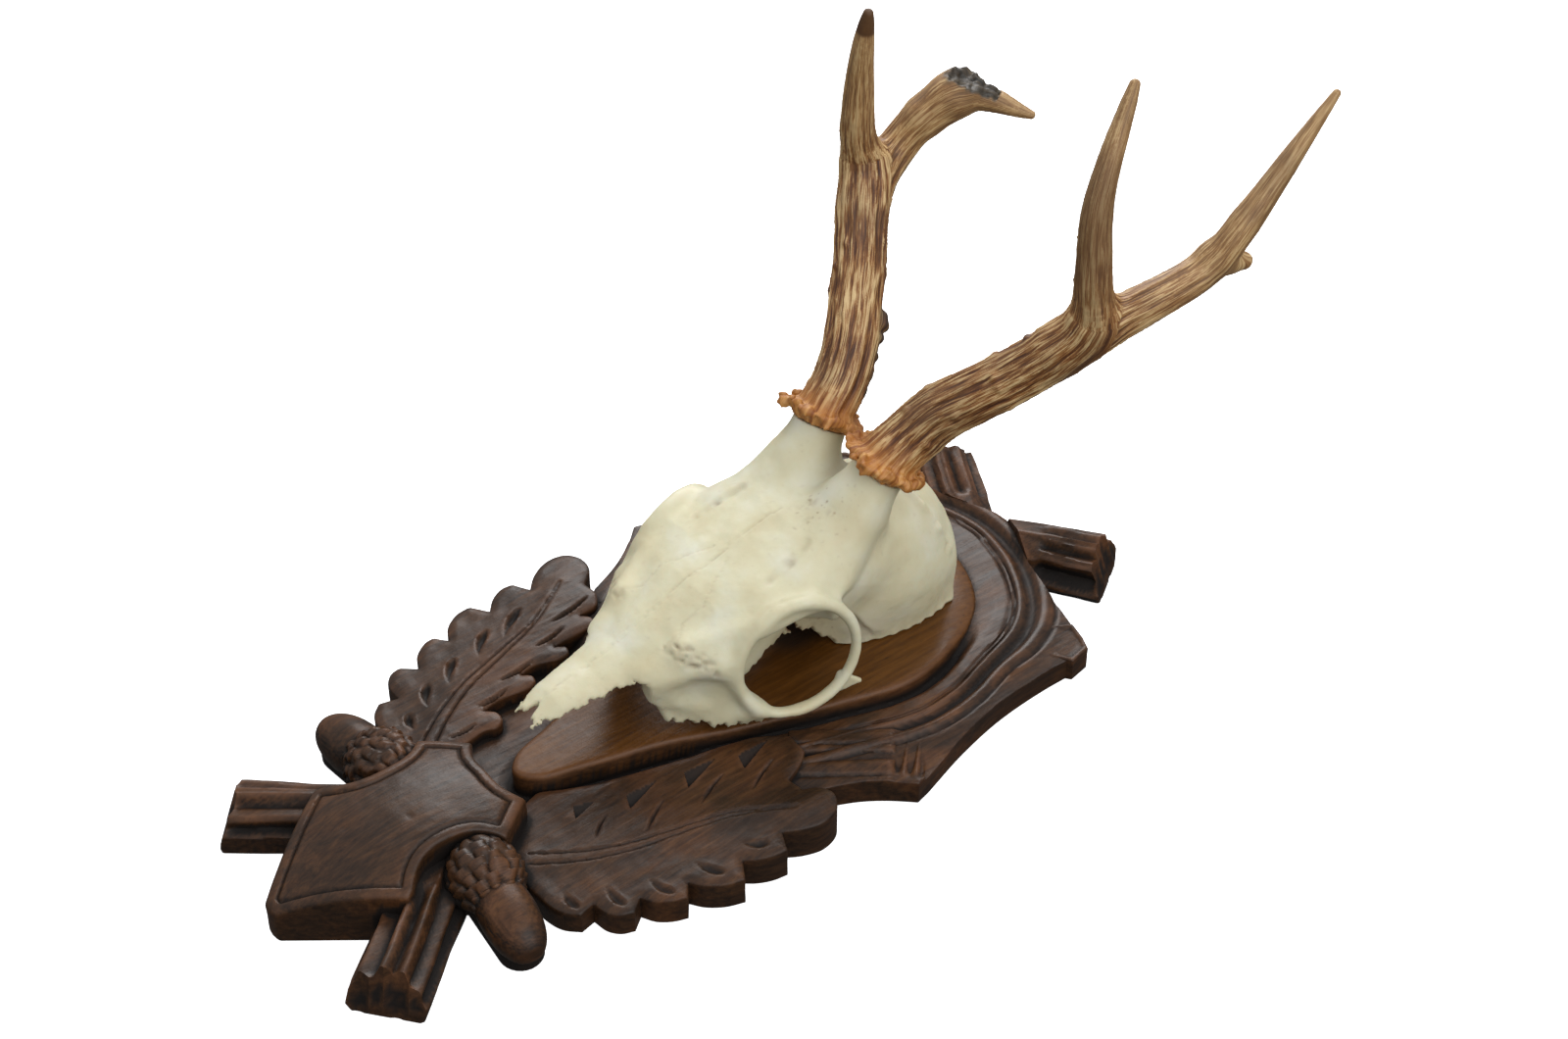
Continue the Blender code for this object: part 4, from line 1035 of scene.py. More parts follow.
# The shade under the braincase: its middle on the pad and how far it reaches
UNDER_CASE = np.array([4.5, -4.5])
UNDER_REACH = np.array([8.5, 12.0])
MAP_CELL = 0.8
MAP_LOW = np.array([-96.0, -232.0])
MAP_SPAN = np.array([192.0, 364.0])


def shade_board(board):
    """Paints shade by how sunk each point is, in recesses, on the walls, in the leaf pits and on the pad under the
    braincase, and how proud each point is, from a height map seen from the front.
    """
    size = np.round(MAP_SPAN / MAP_CELL).astype(int)
    depsgraph = bpy.context.evaluated_depsgraph_get()
    tree = BVHTree.FromObject(board, depsgraph)
    top = np.zeros(size)
    for i in range(size[0]):
        x = (MAP_LOW[0] + (i + 0.5) * MAP_CELL) * MM
        for j in range(size[1]):
            z = (MAP_LOW[1] + (j + 0.5) * MAP_CELL) * MM
            hit = tree.ray_cast(Vector((x, -0.2, z)), Vector((0.0, 1.0, 0.0)))
            if hit[0] is not None:
                top[i, j] = -hit[0].y / MM

    def blurred(values, radius):
        reach = int(3 * radius / MAP_CELL)
        kernel = np.exp(-0.5 * (np.arange(-reach, reach + 1) * MAP_CELL / radius) ** 2)
        kernel /= kernel.sum()
        for axis in (0, 1):
            values = np.apply_along_axis(lambda row: np.convolve(row, kernel, "same"), axis, values)
        return values

    solid = (top > 0.0).astype(float)
    p = places_of(board)
    spot = tuple(np.clip(((p[:, :2] - MAP_LOW) / MAP_CELL).astype(int), 0, size - 1).T)

    def level(radius):
        return (blurred(top * solid, radius) / np.maximum(blurred(solid, radius), 1e-3))[spot]

    normal = normals_of(board)
    near = level(1.1)
    wide = level(3.0)
    cover = blurred(solid, 1.1)[spot]
    # painted shade: points sunk below their neighbours, and the upright walls, are marked to be darkened
    painted_shade = np.clip((near - p[:, 2]) / 0.55, 0.0, 1.0) * 0.65 + np.clip((wide - p[:, 2]) / 2.4, 0.0, 1.0) * 0.6
    painted_shade *= mix(0.2, 1.0, smooth_step(0.62, 0.97, cover))
    crest = np.clip((p[:, 2] - near) / 0.5, 0.0, 1.0) * np.clip(normal[:, 2] * 1.6, 0.0, 1.0)
    # painted shade: the floors of the leaf's sunk triangles are marked fully for darkening
    for pit in PITS:
        painted_shade = np.maximum(painted_shade, 0.85 * (inside(p[:, :2], np.array(pit)) & (p[:, 2] > 6.0)))
    # painted shadow: the pad under the braincase is marked for darkening
    under = (p[:, :2] - UNDER_CASE) / UNDER_REACH
    painted_shade = np.maximum(painted_shade, 0.85 * np.exp(-((under**2).sum(axis=1) ** 2)) * (to_edge(p[:, :2], PAD) > 2.0))
    paint(board, "painted_shade", painted_shade)
    paint(board, "crest", crest * (1.0 - painted_shade))
    on_pad = (to_edge(p[:, :2], PAD) > 0.2) & (p[:, 2] > 12.0)
    paint(board, "pad", on_pad.astype(float))
    board.data.set_sharp_from_angle(angle=math.radians(52.0))


# The skull

ORBIT = (38.5, -30.0, 44.5)
ORBIT_RADIUS = 20.4
SOCKET_TURN = -15.0
SOCKET_TILT = 9.0
RING = 2.15  # how thick the socket's rim is
NOSE_FRONT = -123.4
CASE_FOOT = 16.0
BURR = np.array([17.6, 25.7, 91.6])
PEDICLE = np.array([13.5, 10.0, 68.0])
PEDICLE_WAY = unit(BURR - PEDICLE)
BURR_THICK = 7.0
GAP = 0.3

PROFILE = np.array([
    (-126.0, 37.0), (-121.0, 40.0), (-109.0, 45.4), (-92.5, 48.6), (-80.0, 52.4), (-71.0, 56.6), (-60.0, 61.0),
    (-49.6, 65.2), (-36.0, 69.0), (-22.0, 72.8), (-10.0, 76.2), (2.0, 78.2), (14.0, 77.0), (30.0, 73.0), (50.0, 64.0),
])
HALF_WIDTH = np.array([
    (-126.0, 8.4), (-121.0, 8.8), (-110.0, 10.2), (-101.0, 12.0), (-88.0, 14.0), (-80.0, 15.4), (-72.0, 18.0),
    (-64.0, 21.4), (-56.0, 25.4), (-48.0, 29.2), (-40.0, 32.6), (-30.0, 35.2), (-20.0, 35.6), (-12.0, 33.0),
    (-4.0, 28.6), (4.0, 25.0), (12.0, 22.0), (24.0, 16.0), (50.0, 8.0),
])
DROP = np.array([(-126.0, 3.0), (-110.0, 4.0), (-90.0, 5.5), (-78.0, 8.0), (-66.0, 8.5), (-52.0, 6.5), (-36.0, 4.6),
                 (-20.0, 8.0), (-8.0, 12.0), (10.0, 16.0), (50.0, 16.0)])
THICK = np.array([(-126.0, 2.4), (-112.0, 3.4), (-100.0, 4.4), (-86.0, 6.0), (-78.0, 9.0), (-66.0, 13.0),
                  (-50.0, 14.0), (-30.0, 12.0), (0.0, 18.0), (50.0, 18.0)])
NOSE_CUT = np.array([(-126.0, 38.0), (-110.0, 40.4), (-101.0, 42.2), (-84.0, 44.6), (-79.5, 45.5), (-78.0, 30.0),
                     (-70.0, 10.0)])
HOLE = ((8.0, -11.5, 33.0), (19.0, -18.5, 43.5), (8.0, -10.0, 27.0), (19.0, -17.0, 37.0))
CASE = (0.0, 28.0, 38.8)
CASE_AXES = (31.2, 36.0, 32.2)
CASE_HALF = np.array([(-6.0, 4.0), (-2.0, 11.0), (4.0, 15.5), (10.5, 19.6), (23.0, 24.6), (33.0, 26.4),
                      (42.0, 26.6), (50.0, 25.6), (55.0, 24.6), (59.0, 22.0), (66.0, 17.0)])
CREST_LINE = [(10.0, 44.0, 74.0), (21.0, 47.5, 66.0), (26.5, 51.0, 55.0), (27.5, 53.5, 42.0), (26.5, 54.5, 30.0),
              (24.8, 55.2, 18.0)]
TEMPLE = [(36.0, -11.0, 60.5), (31.0, -3.5, 62.0), (27.0, 4.0, 67.0), (23.5, 11.0, 75.0), (21.5, 17.0, 82.0)]
# The cheek's corners, and its sheets of bone: three corners, half the thickness and how softly each is joined
CHEEK_FRONT = (14.0, -77.0, 44.0)
CHEEK_TOP = (27.0, -55.0, 48.0)
CHEEK_LOW = (25.0, -55.0, 21.0)
CHEEK_BACK = (34.5, -46.0, 27.0)
TEAR_BONE = (18.0, -64.0, 53.0)
CHEEK = [
    (CHEEK_FRONT, CHEEK_TOP, CHEEK_LOW, 2.6, None),
    (CHEEK_FRONT, CHEEK_LOW, (18.5, -71.0, 24.0), 2.2, 7.0),
    (CHEEK_TOP, CHEEK_BACK, CHEEK_LOW, 2.6, 7.0),
    (CHEEK_BACK, CHEEK_LOW, (34.0, -44.0, 19.5), 2.8, 6.0),
    (CHEEK_FRONT, CHEEK_TOP, TEAR_BONE, 3.0, 8.0),
    (CHEEK_TOP, TEAR_BONE, (28.0, -46.0, 58.0), 3.0, 8.0),
]
# Lines on the bone: the groove over each socket, the temple's ridge, a crack, a seam and the case's arch
GROOVE = [(21.4, -36.5, 64.5), (21.6, -29.0, 67.0), (21.0, -20.0, 70.5), (19.0, -11.0, 75.0)]
TEMPLE_RIDGE = [(33.0, -12.0, 62.0), (28.0, -2.0, 64.0), (25.0, 8.0, 70.0), (22.5, 16.0, 80.0)]
CRACK = [(20.0, 52.0, 58.0), (26.0, 50.0, 46.0), (28.0, 46.0, 34.0), (27.5, 44.0, 26.0)]
SEAM = np.array([(4.0, -34.0), (9.0, -44.0), (13.5, -52.0), (12.0, -60.0), (17.0, -66.0)])
ARCH = [(22.0, 6.0, 70.0), (25.0, 14.0, 70.0), (27.0, 24.0, 66.0), (26.0, 34.0, 64.0), (22.0, 42.0, 66.0)]
SUTURE = [(0.4, -8.0), (-0.5, -22.0), (0.5, -36.0), (-0.3, -50.0), (0.2, -66.0), (0.0, -84.0), (0.0, -118.0)]


def table_at(table, y):
    return np.interp(y, table[:, 0], table[:, 1]).astype(np.float32)


def in_socket_axes(q):
    """Points in the eye socket's own axes: out of it, forwards along its rim, and up."""
    rel = q - np.asarray(ORBIT, dtype=q.dtype)
    turn = math.radians(SOCKET_TURN)
    tilt = math.radians(SOCKET_TILT)
    out = np.array([math.cos(turn) * math.cos(tilt), math.sin(turn) * math.cos(tilt), math.sin(tilt)])
    along = np.array([-math.sin(turn), math.cos(turn), 0.0])
    up = np.cross(out, along)
    return np.stack([rel @ out.astype(q.dtype), rel @ along.astype(q.dtype), rel @ up.astype(q.dtype)], axis=-1)


def lengths_of(q, line, radius=0.0, end_radius=0.0):
    """Distance from the points to each length of a line in turn."""
    return (cone(q, a, b, radius, end_radius) for a, b in zip(line, line[1:]))


def on_case(place):
    """The point moved straight onto the braincase, a little proud of it."""
    rel = np.array(place) - CASE
    return np.array(CASE) + rel * 1.012 / np.linalg.norm(rel / CASE_AXES)


def skull_field(p):
    x, y, h = p[..., 0], p[..., 1], p[..., 2]
    ax = np.sqrt(x * x + 0.3)
    q = np.stack([np.abs(x), y, h], axis=-1)
    # roof of the nose, face and forehead
    width = table_at(HALF_WIDTH, y)
    share = np.clip(ax / width, 0.0, 1.3)
    top = table_at(PROFILE, y) - table_at(DROP, y) * share**2.2
    roof = (h - top) * 0.9
    side = (ax - width) * 0.93
    under = (top - table_at(THICK, y) - h) * 0.9
    slab = smooth_max(smooth_max(roof, side, 4.0), under, 3.0)
    nose_front = (NOSE_FRONT + 1.15 * np.abs(ax - 6.4) ** 1.15 + 1.1 * np.sin(ax * 2.1) - y) * 0.75
    slab = smooth_max(slab, nose_front, 1.0)
    slab = smooth_max(slab, y - 30.0, 8.0)
    # braincase
    d = ellipsoid(p, CASE, CASE_AXES)
    d = smooth_min(d, cone(q, (17.5, -9.0, 53.0), (15.5, 15.0, 55.0), 12.5, 12.0), 10.0)
    over = h - CASE_FOOT
    flare = 1.6 * np.exp(-over / 4.0) + 0.5 * np.sin(y * 1.1) * np.exp(-over / 6.0)
    foot = smooth_max(ax - table_at(CASE_HALF, y) - flare, y - 61.0 + 6.0 * (ax / 24.0) ** 2 - flare, 1.5)
    foot = smooth_max(foot, -3.0 - y, 6.0)
    foot = smooth_max(foot, h - 38.0, 10.0)
    d = smooth_min(d, foot, 13.0)
    d = smooth_min(d, slab, 12.0)
    for ridge in lengths_of(q, [on_case(place) for place in CREST_LINE], 0.9, 0.9):
        d = smooth_min(d, ridge, 2.6)
    for ridge in lengths_of(q, TEMPLE, 1.2, 1.0):
        d = smooth_min(d, ridge, 4.5)
    # cheek and the bone before the socket
    cheek = None
    for *corners, half_thick, blend in CHEEK:
        bone = sheet(q, *corners, half_thick)
        cheek = bone if cheek is None else smooth_min(cheek, bone, blend)
    cheek = smooth_max(cheek, -ellipsoid(q, (33.0, -67.5, 37.5), (9.5, 11.0, 9.0)), 3.5)
    jag = 1.3 * np.sin(y * 1.3) + 0.9 * np.sin(y * 2.9 + 1.2) + 0.5 * np.sin(y * 6.1)
    cheek = smooth_max(cheek, (20.5 + 0.10 * (y + 52.0) * (y + 52.0) / 12.0 + jag - h) * 0.8, 0.8)
    d = smooth_min(d, cheek, 5.0)
    # inner wall between the sockets
    wall = sheet(q, (12.0, -46.0, 52.0), (13.5, 2.0, 56.0), (12.0, -36.0, 24.0), 3.2)
    wall = smooth_min(wall, sheet(q, (13.5, 2.0, 56.0), (12.0, -36.0, 24.0), (12.5, 4.0, 22.0), 3.2), 3.0)
    d = smooth_min(d, wall, 6.0)
    # pedicles
    d = smooth_min(d, cone(q, (12.5, 4.0, 58.0), tuple(PEDICLE + PEDICLE_WAY * 8.0), 16.5, 10.8), 10.0)
    d = smooth_min(d, cone(q, (27.0, -14.0, 60.0), (17.0, 12.0, 76.0), 4.5, 7.0), 12.0)
    d = smooth_min(d, cone(q, tuple(PEDICLE), tuple(BURR), 11.2, 9.9), 5.0)
    # eye socket
    s = in_socket_axes(q)
    flat = np.sqrt(s[..., 1] ** 2 + s[..., 2] ** 2) + 1e-6
    angle = np.arctan2(s[..., 2], s[..., 1])
    rim_r = ORBIT_RADIUS + 2.2 + 0.5 * np.sin(2.0 * angle + 0.6)
    tube = RING - 0.35 * np.sin(angle + 2.4)
    ring = np.sqrt((flat - rim_r) ** 2 + (s[..., 0] * 0.8) ** 2) - tube
    bowl = ellipsoid(s, (1.0, 0.0, 0.0), (21.5, ORBIT_RADIUS, ORBIT_RADIUS))
    d = smooth_max(d, -bowl, 2.2)
    floor_line = 31.5 - 0.034 * (y + 17.0) ** 2 + 1.0 * np.sin(y * 0.9) + 0.6 * np.sin(y * 2.3 + 1.0)
    tunnel = np.maximum(np.maximum((h - floor_line) * 0.7, ax - 31.0), np.abs(y + 20.0) - 25.0)
    d = smooth_max(d, -tunnel, 1.0)
    brow = cone(q, (32.5, -40.0, 60.0), (35.0, -20.0, 62.5), 3.0, 3.2)
    ring = smooth_min(ring, brow, 4.0)
    d = smooth_min(d, ring, 3.2)
    spur = sheet(q, (42.8, -14.0, 30.5), (42.4, -15.0, 23.0), (45.0, -6.6, 24.6), 0.9)
    d = smooth_min(d, spur, 2.0)
    hole = np.minimum(cone(q, HOLE[0], HOLE[1], 2.3, 2.3), cone(q, HOLE[2], HOLE[3], 1.7, 1.9))
    d = smooth_max(d, -hole, 0.8)
    return d


def bone_marks(p):
    """How deep each sunk mark is, and how much stain the bone has there, with painted shade in the hole through the
    inner wall.
    """
    x, y, h = p[:, 0], p[:, 1], p[:, 2]
    q = np.stack([np.abs(x), y, h], axis=1)
    deep = np.zeros(len(p))
    stain_and_shade = np.zeros(len(p))
    facing = h > 40.0
    line = spline(SUTURE, 1.0)
    wave = 0.5 * noise(p, 1.7, 90) + 0.3 * noise(p, 0.8, 91)
    d = to_lines(np.stack([x + wave, y], axis=1), line)[0]
    mark = np.clip(1.0 - d / 0.55, 0.0, 1.0) * facing
    deep += 0.45 * mark
    stain_and_shade += 0.34 * mark * np.clip(0.5 + 0.9 * noise(p, 7.0, 92), 0.0, 1.0)
    for d in lengths_of(q, GROOVE):
        mark = np.clip(1.0 - d / 2.8, 0.0, 1.0)
        deep += 1.15 * mark**1.3
        stain_and_shade += 0.30 * mark * np.clip(0.5 + noise(p, 3.0, 93), 0.0, 1.0)
    d = ball(q, (21.4, -36.8, 64.6), 0.0)
    mark = np.clip(1.0 - d / 1.8, 0.0, 1.0)
    deep += 1.6 * mark
    stain_and_shade += 0.8 * mark
    # painted shade: in and round the hole through the inner wall the bone is painted fully dark
    hole_shade = np.minimum(cone(q, HOLE[0], HOLE[1], 2.6, 2.6), cone(q, HOLE[2], HOLE[3], 2.0, 2.2))
    stain_and_shade += 1.6 * (hole_shade < 0.0)
    slope = 55.0 - (q[:, 1] + 67.0) * 0.75
    rough = np.exp(-(((q[:, 1] + 67.0) / 7.5) ** 4) - (((q[:, 2] - slope) / 4.2) ** 4)) * (q[:, 0] > 14.0)
    rough = rough * np.where(x > 0.0, 1.0, 0.4)
    pits = np.clip(0.15 + 1.5 * noise(p, (2.0, 2.0, 1.5), 94), 0.0, 1.0)
    deep += 1.2 * rough * pits
    stain_and_shade += 0.50 * rough * pits**1.5 + 0.12 * rough
    specks = np.clip(noise(p, 1.1, 95) - 0.62, 0.0, 1.0) * 2.6
    zone = np.exp(-(((x - 12.0) / 9.0) ** 2) - (((y - 0.0) / 9.0) ** 2))
    stain = np.clip(noise(p, (3.0, 6.0, 3.0), 104) - 0.30, 0.0, 1.0)
    stain_and_shade += specks * (0.16 + 1.3 * zone) + 0.9 * zone * stain * np.clip(0.5 + noise(p, 1.0, 105), 0.0, 1.0)
    for d in lengths_of(q, TEMPLE_RIDGE):
        deep -= 0.35 * np.exp(-((d / 1.4) ** 2))
    wave3 = p + 0.8 * np.stack([noise(p, 2.2, 96), noise(p, 2.2, 97), noise(p, 2.2, 98)], axis=1)
    q3 = np.stack([np.abs(wave3[:, 0]), wave3[:, 1], wave3[:, 2]], axis=1)
    for d in lengths_of(q3, CRACK):
        mark = np.clip(1.0 - d / 0.8, 0.0, 1.0)
        deep += 0.35 * mark
        stain_and_shade += 0.22 * mark
    wave2 = 0.7 * noise(p, 2.0, 102)
    d = to_lines(np.stack([q[:, 0] + wave2, y], axis=1), SEAM)[0]
    mark = np.clip(1.0 - d / 0.5, 0.0, 1.0) * facing
    deep += 0.25 * mark
    stain_and_shade += 0.16 * mark
    for d in lengths_of(q3, ARCH):
        deep -= 0.30 * np.exp(-((d / 1.2) ** 2))
    deep += -0.35 * noise(p, 13.0, 99) - 0.16 * noise(p, 4.5, 100) - 0.05 * noise(p, 1.6, 101)
    return deep, np.clip(stain_and_shade, 0.0, 1.0)


def cut_skull_field(p):
    """The skull after the saw: the seat on the pad, the ragged cut edges and the burr seats."""
    d = skull_field(p)
    x, y, h = p[..., 0], p[..., 1], p[..., 2]
    q = np.stack([np.abs(x), y, h], axis=-1)
    d = smooth_max(d, SEAT - h, 0.6)
    rag = 0.9 * np.sin(y * 0.75) + 0.6 * np.sin(y * 1.9 + 1.0) + 0.4 * np.sin(y * 4.1)
    nose_cut = table_at(NOSE_CUT, y).astype(p.dtype) + 0.5 * rag
    d = smooth_max(d, (nose_cut - h) * 0.5, 0.8)
    throat = np.maximum(np.abs(x) - table_at(HALF_WIDTH, y) + 3.4, h - table_at(PROFILE, y) + 7.4)
    throat = np.maximum(throat, y + 50.0)
    d = smooth_max(d, -throat * 0.9, 1.5)
    rel = q - (BURR - PEDICLE_WAY * (BURR_THICK / 2 + GAP)).astype(p.dtype)
    off_axis = np.linalg.norm(q - BURR.astype(p.dtype), axis=-1) - 26.0
    saw = np.maximum(-(rel @ PEDICLE_WAY.astype(p.dtype)), off_axis)
    return np.maximum(d, -saw)


def build_skull():
    cell = 0.8 * 1.0
    points, quads = surface(cut_skull_field, (-52.0, -128.0, 12.0), (52.0, 74.0, 98.0), cell)
    points = settle_on(cut_skull_field, points)
    skull = outward(mesh_object("roe_skull", points, quads))
    normal = normals_of(skull)
    deep, stain_and_shade = bone_marks(points)
    fixed = points[:, 2] < SEAT + 0.05
    moved = points - normal * np.where(fixed, 0.0, deep)[:, None]
    skull.data.vertices.foreach_set("co", stand(moved).astype(np.float32).ravel())
    skull.data.update()
    paint(skull, "stain_and_shade", stain_and_shade)
    # marks the faces turned back towards the board
    paint(skull, "inside", smooth_step(0.0, 1.0, -normal[:, 2] - 0.1))
    return skull


# The antlers

BEAM = [(17.6, 25.7, 91.6), (20.0, 35.6, 100.4), (25.1, 44.4, 110.4), (34.4, 53.9, 120.4), (43.7, 63.2, 130.3),
        (53.3, 71.6, 142.4), (61.0, 78.0, 156.0)]
TINES = {
    1: ([(62.0, 76.5, 176.6), (60.0, 77.5, 197.9), (58.0, 82.8, 214.6), (53.0, 96.6, 238.1)],
        [(68.0, 94.9, 158.8), (74.0, 117.7, 168.0), (78.0, 130.0, 183.5), (81.0, 163.8, 222.8)]),
    -1: ([(60.0, 74.1, 173.0), (57.0, 72.2, 195.9), (54.0, 71.0, 211.5), (51.0, 70.4, 225.3)],
         [(61.0, 92.0, 154.0), (57.0, 104.0, 168.0), (49.0, 117.0, 176.0), (30.0, 131.0, 171.2)]),
}
SNAGS = {
    1: [(74.0, 121.0, 171.0), (74.0, 128.0, 167.0), (76.0, 134.0, 165.0)],
    -1: [(57.0, 104.0, 168.0), (52.0, 112.0, 176.0), (48.5, 118.0, 184.0)],
}
BREAK = (49.8, 116.7, 182.2)
BREAK_WAY = (-0.25, 0.30, 0.92)
PEARLING = {
    1: [((18.5, 44.0, 116.4), 1.8)],
    -1: [
        ((13.6, 40.6, 97.8), 1.6), ((15.4, 43.8, 101.8), 2.3), ((17.4, 48.9, 106.7), 1.7), ((20.4, 53.2, 111.6), 2.2),
        ((23.0, 56.4, 114.6), 2.8), ((24.4, 58.0, 116.6), 2.2), ((22.6, 57.4, 113.2), 1.9),
    ],
}
ROSE_RADIUS = 11.4
ROSE_PEARLS = 30
BEAM_PEARLS = 18
BEAM_WIDTH = np.array([(0.0, 10.6), (0.1, 9.9), (0.3, 9.7), (0.7, 9.4), (1.0, 8.6)])
FRONT_WIDTH = np.array([(0.0, 8.4), (0.15, 6.7), (0.5, 5.3), (0.8, 3.8), (0.94, 2.7), (1.0, 1.9)])
BACK_WIDTH = {
    1: np.array([(0.0, 6.0), (0.15, 7.4), (0.42, 6.4), (0.62, 5.4), (0.8, 3.9), (0.94, 2.3), (1.0, 1.5)]),
    -1: np.array([(0.0, 6.0), (0.2, 7.2), (0.5, 7.2), (0.72, 6.6), (0.82, 5.0), (0.92, 3.2), (1.0, 1.7)]),
}


def antler_routes(side):
    """Two runs of points, burr to front tip and beam to back tip, each with radii and its place along."""
    front, back = TINES[side]
    routes = []
    whole = spline([*BEAM, *front], 2.8)
    fork = int(np.argmin(np.linalg.norm(whole - np.array(BEAM[-1]), axis=1)))
    low = np.linspace(0.0, 1.0, fork + 1)
    high = np.linspace(0.0, 1.0, len(whole) - fork)[1:]
    radius = np.concatenate([table_at(BEAM_WIDTH, low), table_at(FRONT_WIDTH, high)])
    routes.append((whole, radius, np.concatenate([0.5 * low, 0.5 + 0.5 * high])))
    whole = spline([BEAM[-3], BEAM[-2], *back], 2.8)
    first = int(np.argmin(np.linalg.norm(whole - np.array(BEAM[-2]), axis=1)))
    part = whole[first:]
    t = np.linspace(0.0, 1.0, len(part))
    routes.append((part, table_at(BACK_WIDTH[side], t), 0.45 + 0.55 * t))
    return routes


